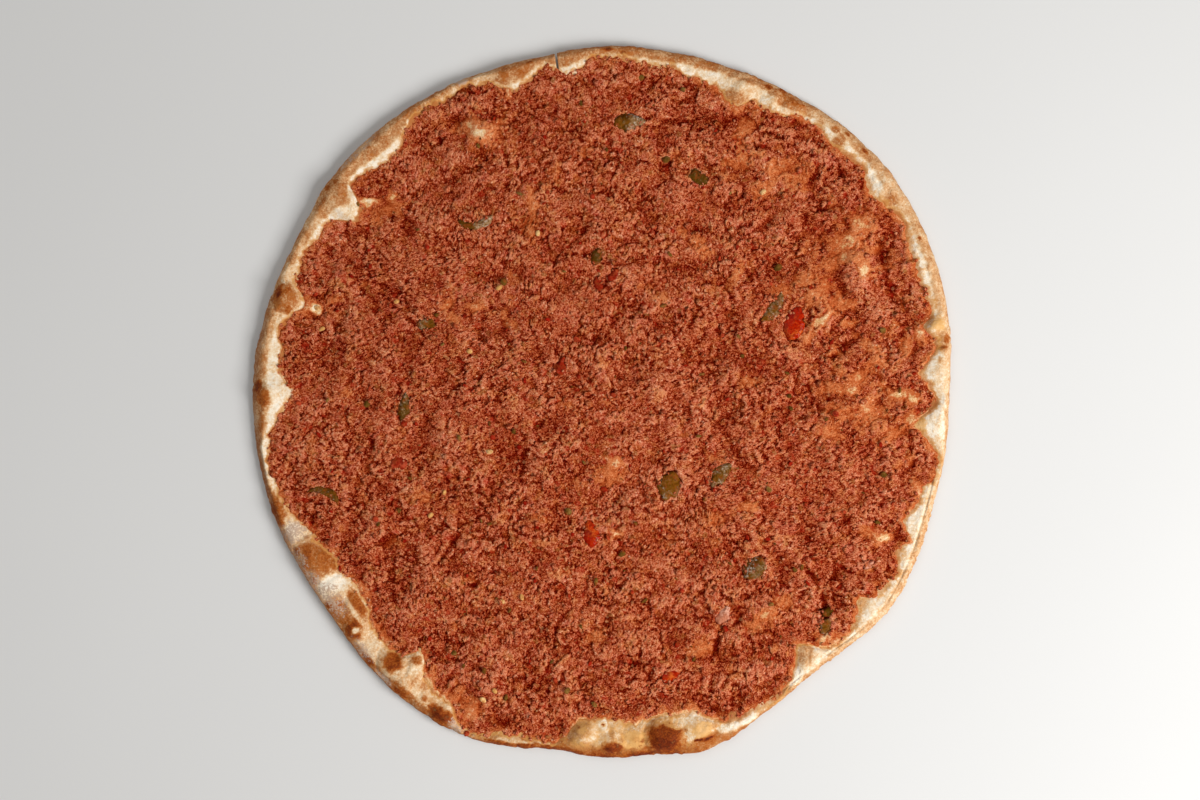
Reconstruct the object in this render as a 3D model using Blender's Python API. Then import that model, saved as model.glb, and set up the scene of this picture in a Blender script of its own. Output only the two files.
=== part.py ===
"""Lahmacun: a thin round flatbread spread with spiced minced meat.

The bread is one baked disc with a flat floor and a low puffed rim. The rim's width, height
and blisters change all the way round. The meat is one layer that lies on the floor inside
the rim, with lumps of mince and a few pale seeds standing out of it. The larger chopped
vegetables are chips of their own, which lie in shallow pockets of the meat.

Lengths are in metres, +Z is up and the base of the bread lies on Z = 0. The sizes below are
written in millimetres. Bearings are in degrees, anticlockwise from +X seen from above.
"""

import math
import random

import bmesh
import bpy
from mathutils import Vector, noise

MM = 0.001

# Fineness of the meshes: corners round the bread, of which the meat's square grid has a quarter a side
CORNERS = 192
GRID_CELLS = CORNERS // 4
SHARP_ANGLE = 50

# Bread outline: (bearing, radius)
OUTLINE = (
    (0, 153.0), (20, 159.0), (40, 162.2), (60, 159.0), (70, 157.4), (80, 156.8), (91, 156.4),
    (100, 154.2), (130, 154.8), (141, 154.2), (152, 152.0), (175, 153.8), (200, 152.6),
    (217, 151.6), (233, 156.4), (249, 159.0), (262, 154.8), (270, 156.6), (280, 157.4),
    (286, 160.2), (291, 158.6), (298, 154.8), (309, 151.6), (325, 156.4), (342, 153.2), (352, 153.2),
)

# Bare rim between the outline and the meat: (bearing, width)
RIM_WIDTH = (
    (0, 5.8), (9, 7.0), (20, 8.0), (40, 8.4), (53, 5.2), (59, 10.4), (72, 9.4), (89, 5.0),
    (103, 5.2), (114, 3.6), (124, 5.0), (137, 8.6), (147, 9.6), (153, 6.2), (166, 8.8), (172, 11.6),
    (182, 11.8), (187, 6.4), (195, 4.0), (205, 12.6), (212, 16.2), (221, 16.4), (228, 11.4),
    (239, 11.6), (244, 8.6), (248, 1.8), (254, 6.8), (262, 3.8), (267, 15.0), (272, 17.0),
    (286, 18.2), (290, 10.4), (294, 6.8), (300, 2.6), (306, 5.6), (315, 5.2), (326, 8.0),
    (331, 4.4), (343, 6.8), (349, 2.6), (353, 6.0),
)

# Tongues of bare dough that reach further in: (bearing, half angle, extra width)
RIM_TONGUES = (
    (5, 2.4, 6.4), (13, 1.6, 3.6), (35, 2.4, 3.4), (47, 2.0, 2.0), (66, 2.6, 5.0),
    (95, 2.4, 4.8), (106, 3.2, 6.6), (131, 3.4, 5.4), (142, 2.2, 9.0), (162, 2.4, 7.4),
    (178.5, 2.0, 6.0), (234.5, 1.8, 9.0), (309, 1.8, 8.2), (322, 1.8, 6.0), (333, 1.4, 4.6),
    (338.5, 1.8, 4.2), (356, 2.2, 8.0),
)

# Blisters that the oven raised on the rim: (bearing, inset from the outline, radius, height)
BLISTERS = (
    (161.6, 8.0, 6.4, 1.5), (179, 6.6, 5.0, 0.9), (199, 2.8, 4.4, 0.7), (208.7, 9.8, 9.0, 1.7),
    (220.6, 13.0, 6.4, 1.2), (223, 5.6, 5.2, 0.9), (231.2, 9.2, 6.2, 1.7), (237.3, 12.6, 4.4, 0.9),
    (243.3, 3.4, 5.6, 1.1), (266.6, 11.0, 5.8, 1.3), (271.8, 6.3, 5.0, 0.9), (275.8, 10.5, 4.4, 0.8),
    (280.6, 7.8, 7.6, 2.1), (287.1, 11.6, 6.2, 1.2), (13.1, 8.0, 4.6, 1.1), (56.7, 5.4, 4.4, 0.6),
    (65, 8.6, 5.4, 0.9), (60.4, 8.6, 4.4, 0.8),
)

# Section of the bread
FLOOR_TOP = 3.2
BASE_INSET = 15.0
UNDERSIDE = ((7.0, 0.8), (1.6, 2.1))
OUTER_EDGE_HEIGHT = 3.4
CREST_AT = 0.44
CREST_HEIGHT = 5.5
CREST_GAIN = 0.22
CROWN_STATIONS = (0.06, 0.22, 0.42, 0.60, 0.80, 1.0)
MEAT_LINE_SHARE = 0.28
INNER_SLOPE_RUN = 3.2

# Leaning outer wall on one side, where the crust starts further in: bearing, half angle, inset
LEANING_WALL = (183, 26, 2.4)

# Slit that opened in the rim while baking
SLIT_BEARING = 97.5
SLIT_LENGTH = 8.2
SLIT_WIDTH = 0.9

# Meat layer
GAP = 0.3
MEAT_TOP = 6.2
MEAT_EDGE_THICKNESS = 0.9
MEAT_EDGE_RUN = 9.0
BROAD_RELIEF = (0.55, 42.0)
LUMP_RELIEF = (2.0, 13.0)
DEEPEST_RELIEF = -1.2
CALM_MARGIN = 7.0

# Swellings of dough under the meat: (x, y, radius, height)
SWELLINGS = (
    (-52, 118, 6, 1.2), (114, 58, 9, 1.6), (72, -95, 9, 1.6), (125, -60, 6, 1.2),
    (116, 75, 8, 1.2), (92, 40, 9, 1.2), (105, -8, 9, 1.0),
)

# Lumps of mince that stand out of the layer
LUMP_COUNT = 44
LUMP_RADIUS = (2.0, 3.4)
LUMP_SHAPE = (2.4, 1.9, 1.1)
LUMP_MARGIN = 7.0
LUMP_CLEARANCE = 1.5
EDGE_CLEARANCE = 3.5
LUMP_FLOOR_CLEARANCE = 0.3
LUMP_SEED = 27

# Pale seeds on top of the meat: (x, y, turn)
SEEDS = (
    (-45, 50, 20), (-90, 44, 70), (-125, 41, 130), (-123, 32, 10), (-58, 22, 95),
    (-75, -50, 40), (-69, -40, 150), (-47, -127, 60), (-52, -131, 115), (-49, -22, 0),
)
SEED_SIZE = (3.6, 2.6, 1.8)

# Chopped vegetables: name, x, y, length, width, turn, bend, taper
# The bend is how far the chip's middle line turns over its length, and a positive taper
# makes the far end the narrow one.
CHIPS = (
    ("green_pepper_1", 12.6, 123.2, 13.0, 8.0, 4, 0, 0.45),
    ("green_pepper_2", 42.6, 98.0, 9.6, 6.4, -20, -50, 0.0),
    ("green_pepper_3", -55.4, 79.0, 17.0, 4.4, 10, 105, -0.1),
    ("green_pepper_4", -2.2, 63.6, 7.6, 5.0, 78, 0, 0.2),
    ("green_pepper_5", 75.0, 41.0, 16.0, 5.4, 52, 62, 0.0),
    ("green_pepper_6", 30.2, -37.0, 13.2, 9.6, 68, -24, 0.1),
    ("green_pepper_7", 52.4, -32.4, 12.4, 6.0, 52, -24, 0.1),
    ("green_pepper_8", 67.0, -73.4, 12.0, 8.6, 48, 20, -0.2),
    ("green_pepper_9", -121.8, -41.0, 16.5, 3.8, -22, -95, -0.1),
    ("green_pepper_10", -87.0, -2.2, 12.4, 5.0, 78, 24, 0.1),
    ("green_pepper_11", -77.0, 34.2, 7.2, 5.8, 0, 0, 0.0),
    ("tomato_1", 85.2, 34.6, 15.8, 9.4, 74, -8, 0.3),
    ("tomato_2", -4.4, -58.0, 12.2, 7.2, 96, 0, 0.0),
    ("red_pepper_1", -18.0, 15.4, 7.4, 6.2, 60, 0, 0.2),
    ("red_pepper_2", -89.2, -27.2, 7.2, 6.8, 0, 0, 0.0),
    ("onion_1", 53.4, -94.2, 8.0, 5.8, 62, 0, 0.2),
)
CHIP_STATIONS = 5
CHIP_DEPTH = 1.7
CHIP_PROUD = 0.6
CHIP_CROWN = 0.5
POCKET_HEIGHT = 8.0

# Colours, roughness of each material
COLOURS = {
    "flatbread": ((0.62, 0.36, 0.17), 0.75),
    "meat": ((0.33, 0.075, 0.03), 0.6),
    "green_pepper": ((0.10, 0.10, 0.02), 0.35),
    "red_pepper": ((0.30, 0.02, 0.01), 0.35),
    "tomato": ((0.45, 0.05, 0.015), 0.3),
    "onion": ((0.55, 0.27, 0.18), 0.4),
}


def clear_scene():
    """Remove every object that is already in the file."""
    for item in list(bpy.data.objects):
        bpy.data.objects.remove(item, do_unlink=True)


def new_collection(name):
    """Return a new collection linked under the scene."""
    collection = bpy.data.collections.new(name)
    bpy.context.scene.collection.children.link(collection)
    return collection


def material(name):
    """Return the named material, made on its first use."""
    found = bpy.data.materials.get(name)
    if found:
        return found
    made = bpy.data.materials.new(name)
    made.use_nodes = True
    colour, roughness = COLOURS[name]
    shader = made.node_tree.nodes["Principled BSDF"]
    shader.inputs["Base Color"].default_value = (*colour, 1.0)
    shader.inputs["Roughness"].default_value = roughness
    shader.inputs["Metallic"].default_value = 0.0
    return made


def object_from_bmesh(name, bm, collection, material_name):
    """Turn a bmesh into an object of the collection and free the bmesh."""
    mesh = bpy.data.meshes.new(name)
    bm.to_mesh(mesh)
    bm.free()
    mesh.shade_smooth()
    mesh.set_sharp_from_angle(angle=math.radians(SHARP_ANGLE))
    item = bpy.data.objects.new(name, mesh)
    collection.objects.link(item)
    mesh.materials.append(material(material_name))
    return item


def smoothstep(value):
    """Ease a value from 0 to 1, held at both ends."""
    held = min(max(value, 0.0), 1.0)
    return held * held * (3.0 - 2.0 * held)


def angle_between(bearing, other):
    """Return the smaller angle between two bearings, in degrees."""
    return abs((bearing - other + 180.0) % 360.0 - 180.0)


def round_curve(stations, bearing):
    """Read a smooth closed curve through (bearing, value) stations at one bearing."""
    count = len(stations)
    turn = bearing % 360.0
    first = max(index for index in range(count) if stations[index][0] <= turn)
    picked = []
    for step in (-1, 0, 1, 2):
        laps, index = divmod(first + step, count)
        picked.append((stations[index][0] + 360.0 * laps, stations[index][1]))
    before, start, end, after = picked
    span = end[0] - start[0]
    leave = (end[1] - before[1]) / (end[0] - before[0]) * span
    arrive = (after[1] - start[1]) / (after[0] - start[0]) * span
    t = (turn - start[0]) / span
    return ((2 * t**3 - 3 * t**2 + 1) * start[1] + (t**3 - 2 * t**2 + t) * leave
            + (3 * t**2 - 2 * t**3) * end[1] + (t**3 - t**2) * arrive)


def outline_radius(bearing):
    """Radius of the bread's edge."""
    return round_curve(OUTLINE, bearing)


def rim_width(bearing):
    """Width of the bare rim, with the tongues of dough that reach inwards."""
    width = round_curve(RIM_WIDTH, bearing)
    for centre, half_angle, extra in RIM_TONGUES:
        width += extra * smoothstep(1.0 - angle_between(bearing, centre) / (2.0 * half_angle))
    return max(width, 1.6)


def crest_height(bearing):
    """Height of the rim's crest: a wide rim is puffed up more than a narrow one."""
    turn = math.radians(bearing)
    wave = 0.30 * math.sin(3.0 * turn + 0.6) + 0.22 * math.sin(7.0 * turn + 2.0)
    return CREST_HEIGHT + CREST_GAIN * rim_width(bearing) + wave


def meat_line_height(bearing):
    """Height of the bread where the meat begins."""
    return FLOOR_TOP + MEAT_LINE_SHARE * (crest_height(bearing) - FLOOR_TOP)


def wall_lean(bearing):
    """Inset of the crust's top edge from the outline."""
    centre, half_angle, inset = LEANING_WALL
    return 0.5 + (inset - 0.5) * smoothstep(1.0 - angle_between(bearing, centre) / half_angle)


def blister_height(bearing, radius):
    """Height that the blisters add at a point of the rim."""
    turn = math.radians(bearing)
    raised = 0.0
    for centre, inset, reach, height in BLISTERS:
        if angle_between(bearing, centre) < 9.0:
            middle = outline_radius(centre) - inset
            swing = math.radians(centre)
            across = radius * math.cos(turn) - middle * math.cos(swing)
            along = radius * math.sin(turn) - middle * math.sin(swing)
            raised += height * smoothstep(1.3 - math.hypot(across, along) / reach)
    return raised


def bread_section(bearing):
    """List the (radius, height) points of the bread's section, from the base up and in."""
    outline = outline_radius(bearing)
    width = rim_width(bearing)
    crest = crest_height(bearing)
    line = meat_line_height(bearing)
    lean = min(wall_lean(bearing), 0.4 * width)
    points = [(outline - BASE_INSET, 0.0)]
    points += [(outline - inset, height) for inset, height in UNDERSIDE]
    points.append((outline, OUTER_EDGE_HEIGHT - 0.6 * lean))
    for share in CROWN_STATIONS:
        radius = outline - lean - share * (width - lean)
        if share < CREST_AT:
            rise = math.sin(0.5 * math.pi * (0.3 + 0.7 * share / CREST_AT))
            height = OUTER_EDGE_HEIGHT + (crest - OUTER_EDGE_HEIGHT) * rise
        else:
            fall = (share - CREST_AT) / (1.0 - CREST_AT)
            height = line + (crest - line) * 0.5 * (1.0 + math.cos(math.pi * fall))
        bump = blister_height(bearing, radius) * smoothstep((1.0 - share) / 0.25)
        points.append((radius, height + bump))
    points.append((outline - width - INNER_SLOPE_RUN, FLOOR_TOP))
    return points


def corner_bearings():
    """Bearings of the corners that the bread and the meat share, from 45 degrees on."""
    return [45.0 + 360.0 * index / CORNERS for index in range(CORNERS)]


def polar(bearing, radius, height):
    """Point in metres from a bearing and a radius and height in millimetres."""
    turn = math.radians(bearing)
    return Vector((radius * math.cos(turn), radius * math.sin(turn), height)) * MM


def bridge(bm, lower, upper, forward=True):
    """Join two rings of corners with pairs of triangles that all slant the same way."""
    for here in range(CORNERS):
        there = (here + 1) % CORNERS
        if forward:
            bm.faces.new((lower[here], lower[there], upper[there]))
            bm.faces.new((lower[here], upper[there], upper[here]))
        else:
            bm.faces.new((lower[here], lower[there], upper[here]))
            bm.faces.new((lower[there], upper[there], upper[here]))


def build_flatbread(collection, cutters):
    """Loft the bread through its sections and cut the slit in its rim."""
    bm = bmesh.new()
    sections = [bread_section(bearing) for bearing in corner_bearings()]
    rings = []
    for level in range(len(sections[0])):
        corners = zip(corner_bearings(), sections)
        rings.append([bm.verts.new(polar(bearing, *section[level])) for bearing, section in corners])
    for lower, upper in zip(rings, rings[1:]):
        bridge(bm, lower, upper)
    bm.faces.new(list(reversed(rings[0])))
    bm.faces.new(rings[-1])
    bread = object_from_bmesh("flatbread", bm, collection, "flatbread")

    outer = outline_radius(SLIT_BEARING)
    bpy.ops.mesh.primitive_cube_add(size=1.0)
    cutter = bpy.context.object
    cutter.name = "slit_cutter"
    cutter.scale = Vector((SLIT_LENGTH + 4.0, SLIT_WIDTH, 30.0)) * MM
    cutter.location = polar(SLIT_BEARING, outer + 2.0 - 0.5 * SLIT_LENGTH, 5.0)
    cutter.rotation_euler.z = math.radians(SLIT_BEARING)
    move_to_cutters(cutter, cutters)
    slit = bread.modifiers.new("slit", "BOOLEAN")
    slit.operation = "DIFFERENCE"
    slit.object = cutter
    return bread


def move_to_cutters(item, cutters):
    """Put an object in the cutters' collection, drawn as wire and left out of renders."""
    for holder in list(item.users_collection):
        holder.objects.unlink(item)
    cutters.objects.link(item)
    item.hide_render = True
    item.display_type = "WIRE"


def grid_to_disc(across, along):
    """Map a point of the square from -1 to 1 to a share of the radius and a bearing."""
    if across == 0.0 and along == 0.0:
        return 0.0, 0.0
    if abs(across) >= abs(along):
        share, bearing = across, 45.0 * along / across
    else:
        share, bearing = along, 90.0 - 45.0 * across / along
    if share < 0.0:
        share, bearing = -share, bearing + 180.0
    return share, bearing


def chip_reach(chip):
    """Radius of the circle round a chip's middle that holds it."""
    return 0.5 * max(chip[3], chip[4])


def calm_near_chips(x, y):
    """Share of the relief that is kept at a point: none beside a chip, all away from it."""
    kept = 1.0
    for chip in CHIPS:
        clear = math.hypot(x - chip[1], y - chip[2]) - chip_reach(chip)
        kept = min(kept, smoothstep(clear / CALM_MARGIN))
    return kept


def meat_relief(x, y):
    """Height of the meat over its mean level: slow waves, lumps and swellings of the dough."""
    broad_height, broad_length = BROAD_RELIEF
    lump_height, lump_length = LUMP_RELIEF
    relief = broad_height * noise.noise(Vector((x, y, 4.0)) / broad_length)
    relief += lump_height * noise.noise(Vector((x, y, 31.0)) / lump_length)
    for centre_x, centre_y, radius, height in SWELLINGS:
        relief += height * smoothstep(1.4 - math.hypot(x - centre_x, y - centre_y) / radius)
    return max(relief, DEEPEST_RELIEF) * calm_near_chips(x, y)


def meat_height(x, y, bearing, margin):
    """Height of the meat's top, which thins out to an edge over its last stretch."""
    edge = meat_line_height(bearing) + GAP + MEAT_EDGE_THICKNESS
    full = MEAT_TOP + meat_relief(x, y)
    return edge + (full - edge) * smoothstep(margin / MEAT_EDGE_RUN)


def meat_radius(bearing):
    """Radius of the meat's edge."""
    return outline_radius(bearing) - rim_width(bearing)


def build_meat_core(collection):
    """Make the meat layer from a grid that is mapped onto the disc inside the rim."""
    bm = bmesh.new()
    bmesh.ops.create_grid(bm, x_segments=GRID_CELLS, y_segments=GRID_CELLS, size=1.0)
    mean_radius = sum(meat_radius(bearing) for bearing in corner_bearings()) / CORNERS
    edge_corners = {}
    for vert in bm.verts:
        share, bearing = grid_to_disc(vert.co.x, vert.co.y)
        edge_radius = meat_radius(bearing)
        follow = share**6
        radius = share * (mean_radius * (1.0 - follow) + edge_radius * follow)
        turn = math.radians(bearing)
        x = radius * math.cos(turn)
        y = radius * math.sin(turn)
        height = meat_height(x, y, bearing, edge_radius - radius)
        vert.co = Vector((x, y, height)) * MM
        if share > 0.999:
            edge_corners[round((bearing - 45.0) % 360.0 * CORNERS / 360.0) % CORNERS] = vert
    top_ring = [edge_corners[index] for index in range(CORNERS)]
    bearings = corner_bearings()
    wall_ring = [bm.verts.new(polar(bearing, meat_radius(bearing), meat_line_height(bearing) + GAP))
                 for bearing in bearings]
    floor_ring = [bm.verts.new(polar(bearing, meat_radius(bearing) - INNER_SLOPE_RUN, FLOOR_TOP + GAP))
                  for bearing in bearings]
    bridge(bm, wall_ring, top_ring)
    bridge(bm, floor_ring, wall_ring, forward=False)
    bm.faces.new(list(reversed(floor_ring)))
    return object_from_bmesh("meat_topping", bm, collection, "meat")


def edge_distance(x, y):
    """Distance from a point to the nearest corner of the meat's edge."""
    corners = [polar(bearing, meat_radius(bearing), 0.0) / MM for bearing in corner_bearings()]
    return min(math.hypot(x - corner.x, y - corner.y) for corner in corners)


def lump_places():
    """Spread the lumps evenly over the meat on a spiral, a little out of line."""
    draw = random.Random(LUMP_SEED)
    places = []
    for index in range(LUMP_COUNT):
        bearing = 137.508 * index + draw.uniform(-4.0, 4.0)
        radius = (meat_radius(bearing) - LUMP_MARGIN) * math.sqrt((index + 0.5) / LUMP_COUNT)
        size = draw.uniform(*LUMP_RADIUS)
        turn = draw.uniform(0.0, 360.0)
        x = radius * math.cos(math.radians(bearing))
        y = radius * math.sin(math.radians(bearing))
        clear = min(math.hypot(x - chip[1], y - chip[2]) - chip_reach(chip) for chip in CHIPS)
        if clear > size + LUMP_CLEARANCE and edge_distance(x, y) > size + EDGE_CLEARANCE:
            places.append((x, y, size, turn))
    return places


def surface_height(x, y):
    """Height of the meat's top at any point of the layer."""
    bearing = math.degrees(math.atan2(y, x))
    return meat_height(x, y, bearing, meat_radius(bearing) - math.hypot(x, y))


def add_pebble(name, place, size, turn, collection):
    """Add one small faceted pebble of the given full size, with its middle at the place."""
    bm = bmesh.new()
    bmesh.ops.create_icosphere(bm, subdivisions=1, radius=0.5)
    bmesh.ops.scale(bm, vec=Vector(size) * MM, verts=bm.verts)
    item = object_from_bmesh(name, bm, collection, "meat")
    item.location = Vector(place) * MM
    item.rotation_euler.z = math.radians(turn)
    return item


def fuse_pebbles(meat, lumps):
    """Fuse the lumps and the seeds to the meat in one union and drop the loose pebbles."""
    for index, (x, y, size, turn) in enumerate(lump_places()):
        shape = [size * part for part in LUMP_SHAPE]
        lowest = FLOOR_TOP + GAP + 0.5 * shape[2] + LUMP_FLOOR_CLEARANCE
        add_pebble(f"lump_{index}", (x, y, max(surface_height(x, y), lowest)), shape, turn, lumps)
    for index, (x, y, turn) in enumerate(SEEDS):
        add_pebble(f"seed_{index}", (x, y, surface_height(x, y) + 0.1), SEED_SIZE, turn, lumps)
    union = meat.modifiers.new("pebbles", "BOOLEAN")
    union.operation = "UNION"
    union.operand_type = "COLLECTION"
    union.collection = lumps
    apply_modifiers(meat)
    for item in list(lumps.objects):
        bpy.data.objects.remove(item, do_unlink=True)


def apply_modifiers(item):
    """Swap an object's mesh for its evaluated mesh and clear its modifiers."""
    evaluated = item.evaluated_get(bpy.context.evaluated_depsgraph_get())
    mesh = bpy.data.meshes.new_from_object(evaluated)
    item.modifiers.clear()
    item.data = mesh


def chip_outline(chip, spread):
    """List the corners of a chip's outline, round a middle line bent into an arc."""
    _, x, y, length, width, turn, bend, taper = chip
    half_length = 0.5 * length
    half_bend = math.radians(0.5 * bend)
    near_side = []
    far_side = []
    middle = []
    for station in range(CHIP_STATIONS):
        along = -1.0 + 2.0 * station / (CHIP_STATIONS - 1)
        if abs(half_bend) < 0.01:
            point = Vector((along * half_length, 0.0))
        else:
            arc = half_length / half_bend
            point = Vector((arc * math.sin(along * half_bend), arc * (1.0 - math.cos(along * half_bend))))
        middle.append((along, point, along * half_bend))
    sag = sum((point for _, point, _ in middle), Vector((0.0, 0.0))) / CHIP_STATIONS
    for along, point, heading in middle:
        fullness = (1.0 - 0.84 * abs(along)**2.6) * (1.0 - taper * along)
        half_width = 0.5 * width * fullness + spread
        side = Vector((-math.sin(heading), math.cos(heading)))
        push = Vector((math.cos(heading), math.sin(heading))) * spread * along
        near_side.append(point - sag - side * half_width + push)
        far_side.append(point - sag + side * half_width + push)
    swing = math.radians(turn)
    corners = []
    for corner in near_side + far_side[::-1]:
        corners.append((x + corner.x * math.cos(swing) - corner.y * math.sin(swing),
                        y + corner.x * math.sin(swing) + corner.y * math.cos(swing)))
    return corners


def loft_outlines(bm, layers):
    """Close a solid through outlines of equal corner count, listed from the bottom up."""
    rings = [[bm.verts.new(Vector((x, y, height)) * MM) for x, y in outline] for outline, height in layers]
    count = len(rings[0])
    for lower, upper in zip(rings, rings[1:]):
        for here in range(count):
            there = (here + 1) % count
            bm.faces.new((lower[here], lower[there], upper[there], upper[here]))
    return rings


def cap_along(bm, ring, upwards):
    """Close a chip's ring with strips across it, from one end to the other."""
    count = len(ring)
    half = count // 2
    for step in range(half - 1):
        face = [ring[step], ring[step + 1], ring[count - 2 - step], ring[count - 1 - step]]
        bm.faces.new(face if upwards else list(reversed(face)))


def build_chip(chip, collection):
    """Make one chopped vegetable: a flat-bottomed chip with a crowned top."""
    bottom = MEAT_TOP - CHIP_DEPTH
    shoulder = MEAT_TOP + CHIP_PROUD
    bm = bmesh.new()
    layers = (
        (chip_outline(chip, -0.2), bottom),
        (chip_outline(chip, 0.0), bottom + 0.5 * CHIP_DEPTH),
        (chip_outline(chip, -0.1), shoulder - 0.2),
        (chip_outline(chip, -0.7), shoulder + CHIP_CROWN),
    )
    rings = loft_outlines(bm, layers)
    cap_along(bm, rings[0], upwards=False)
    cap_along(bm, rings[-1], upwards=True)
    kind = chip[0].rsplit("_", 1)[0]
    return object_from_bmesh(chip[0], bm, collection, kind)


def cut_pockets(meat, cutters):
    """Cut the pocket of every chip into the meat, wider and deeper than the chip by the gap."""
    pockets = new_collection("pockets")
    cutters.children.link(pockets)
    bpy.context.scene.collection.children.unlink(pockets)
    bottom = MEAT_TOP - CHIP_DEPTH - GAP
    for chip in CHIPS:
        bm = bmesh.new()
        outline = chip_outline(chip, GAP + 0.1)
        rings = loft_outlines(bm, ((outline, bottom), (outline, bottom + POCKET_HEIGHT)))
        cap_along(bm, rings[0], upwards=False)
        cap_along(bm, rings[-1], upwards=True)
        cutter = object_from_bmesh(f"pocket_{chip[0]}", bm, pockets, "meat")
        cutter.hide_render = True
        cutter.display_type = "WIRE"
    cut = meat.modifiers.new("pockets", "BOOLEAN")
    cut.operation = "DIFFERENCE"
    cut.operand_type = "COLLECTION"
    cut.collection = pockets


def main():
    """Build the lahmacun from the bread up."""
    clear_scene()
    lahmacun = new_collection("lahmacun")
    cutters = new_collection("cutters")
    lumps = new_collection("lumps")
    build_flatbread(lahmacun, cutters)
    meat = build_meat_core(lahmacun)
    fuse_pebbles(meat, lumps)
    cut_pockets(meat, cutters)
    for chip in CHIPS:
        build_chip(chip, lahmacun)


main()
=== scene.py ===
"""Looks of a lahmacun: a thin round flatbread spread with spiced minced meat.

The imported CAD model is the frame. The bread, the meat and each chopped vegetable are built
again as detailed meshes over the same forms, and loose crumbs of mince, seeds and herbs are
scattered over the meat at their true size.

Sizes are in millimetres until a mesh is made. Bearings are in degrees, anticlockwise from +X
seen from above, and an inset is measured inwards from the bread's outline.
"""

import itertools
import logging
import math
from dataclasses import dataclass, field
from enum import Enum

import bpy
import numpy as np
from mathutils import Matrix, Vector, noise


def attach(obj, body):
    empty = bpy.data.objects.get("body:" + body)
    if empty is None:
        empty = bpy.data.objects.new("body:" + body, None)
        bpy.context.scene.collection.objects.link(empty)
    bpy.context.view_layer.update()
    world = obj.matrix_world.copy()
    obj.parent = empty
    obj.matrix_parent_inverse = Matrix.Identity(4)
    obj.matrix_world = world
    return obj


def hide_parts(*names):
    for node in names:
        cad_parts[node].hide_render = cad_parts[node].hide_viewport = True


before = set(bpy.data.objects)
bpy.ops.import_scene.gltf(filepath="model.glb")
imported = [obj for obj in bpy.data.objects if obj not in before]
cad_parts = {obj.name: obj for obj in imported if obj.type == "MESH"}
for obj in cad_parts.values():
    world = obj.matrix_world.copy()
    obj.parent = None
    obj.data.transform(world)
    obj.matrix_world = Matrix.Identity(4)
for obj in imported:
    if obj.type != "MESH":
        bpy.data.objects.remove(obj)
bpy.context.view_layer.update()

MM = 0.001
BODY = "root"
Array = np.ndarray
Colour = tuple[float, float, float]
Stops = tuple[tuple[float, Colour], ...]
log = logging.getLogger("lahmacun")

# Forms that follow the CAD source

# The bread's outline: (bearing, radius)
OUTLINE = (
    (0, 153), (20, 159), (40, 162.2), (60, 159), (70, 157.4), (80, 156.8), (91, 156.4),
    (100, 154.2), (130, 154.8), (141, 154.2), (152, 152), (175, 153.8), (200, 152.6), (217, 151.6),
    (233, 156.4), (249, 159), (262, 154.8), (270, 156.6), (280, 157.4), (286, 160.2), (291, 158.6),
    (298, 154.8), (309, 151.6), (325, 156.4), (342, 153.2), (352, 153.2),
)
# How wide the rim is that the meat leaves bare: (bearing, width)
RIM_WIDTH = (
    (0, 5.8), (9, 7), (15, 7.4), (20, 9), (25, 9.6), (30, 7.2), (33, 8.2), (36.5, 12.4), (40, 10.2),
    (43, 8.8), (47, 10.2), (52, 7), (55, 6.8), (59, 11), (72, 9.4), (89, 5), (103, 5.2), (114, 3.8),
    (120, 5), (124, 5.6), (127, 7.6), (131, 7.2), (137, 8.6), (147, 9.6), (153, 6.2), (166, 8.8),
    (172, 11), (182, 12), (184, 10.4), (186, 6.6), (188, 4.8), (195, 5.2), (205, 12), (212, 15.8),
    (221, 15.4), (226, 12.4), (228, 12.2), (231, 13.4), (238, 11.4), (241, 10.2), (244, 9.4),
    (248, 1.8), (254, 5.4), (262, 3.8), (264, 8.6), (266.5, 15.6), (270, 17.4), (276, 14.8),
    (281, 17.4), (286, 18.2), (290, 9.8), (294, 6.8), (300, 2.6), (306, 5.6), (315, 5.2), (326, 8),
    (331, 4.4), (343, 6.8), (349, 2.6), (353, 6),
)
# Where bare dough reaches further in: (bearing, angle to either side, extra width)
RIM_TONGUES = (
    (5, 4.8, 6.4), (12.6, 2.4, 5), (66.6, 3.6, 5), (95, 4.8, 4.8), (105.3, 5.8, 6.6),
    (131, 6.8, 5.4), (140.9, 2.4, 5.5), (142.2, 3.2, 5), (143.8, 2.6, 6.5), (162, 4.8, 7.4),
    (178.5, 4, 6), (234.5, 3.6, 9), (309, 3.6, 8.2), (322, 3.6, 6), (333, 2.8, 4.6),
    (338.5, 3.6, 4.2), (356, 4.4, 8),
)
# Blisters of the rim: (bearing, inset, reach, height)
BLISTERS = (
    (161.6, 8, 6.4, 1.5), (179, 6.6, 5, 0.9), (199, 2.8, 4.4, 0.7), (208.7, 9.8, 9, 1.7),
    (220.6, 13, 6.4, 1.2), (223, 5.6, 5.2, 0.9), (231.2, 9.2, 6.2, 1.7), (237.3, 12.6, 4.4, 0.9),
    (243.3, 3.4, 5.6, 1.1), (266.6, 11, 5.8, 1.3), (271.8, 6.3, 5, 0.9), (275.8, 10.5, 4.4, 0.8),
    (280.6, 7.8, 7.6, 2.1), (287.1, 11.6, 6.2, 1.2), (13.1, 8, 4.6, 1.1), (56.7, 5.4, 4.4, 0.6),
    (65, 8.6, 5.4, 0.9), (60.4, 8.6, 4.4, 0.8),
)
# Where the dough swells under the meat: (x, y, reach, height)
SWELLINGS = (
    (-52, 118, 6, 1.2), (114, 58, 9, 1.6), (72, -95, 9, 1.6), (125, -60, 6, 1.2), (116, 75, 8, 1.2),
    (92, 40, 9, 1.2), (105, -8, 9, 1),
)
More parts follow.
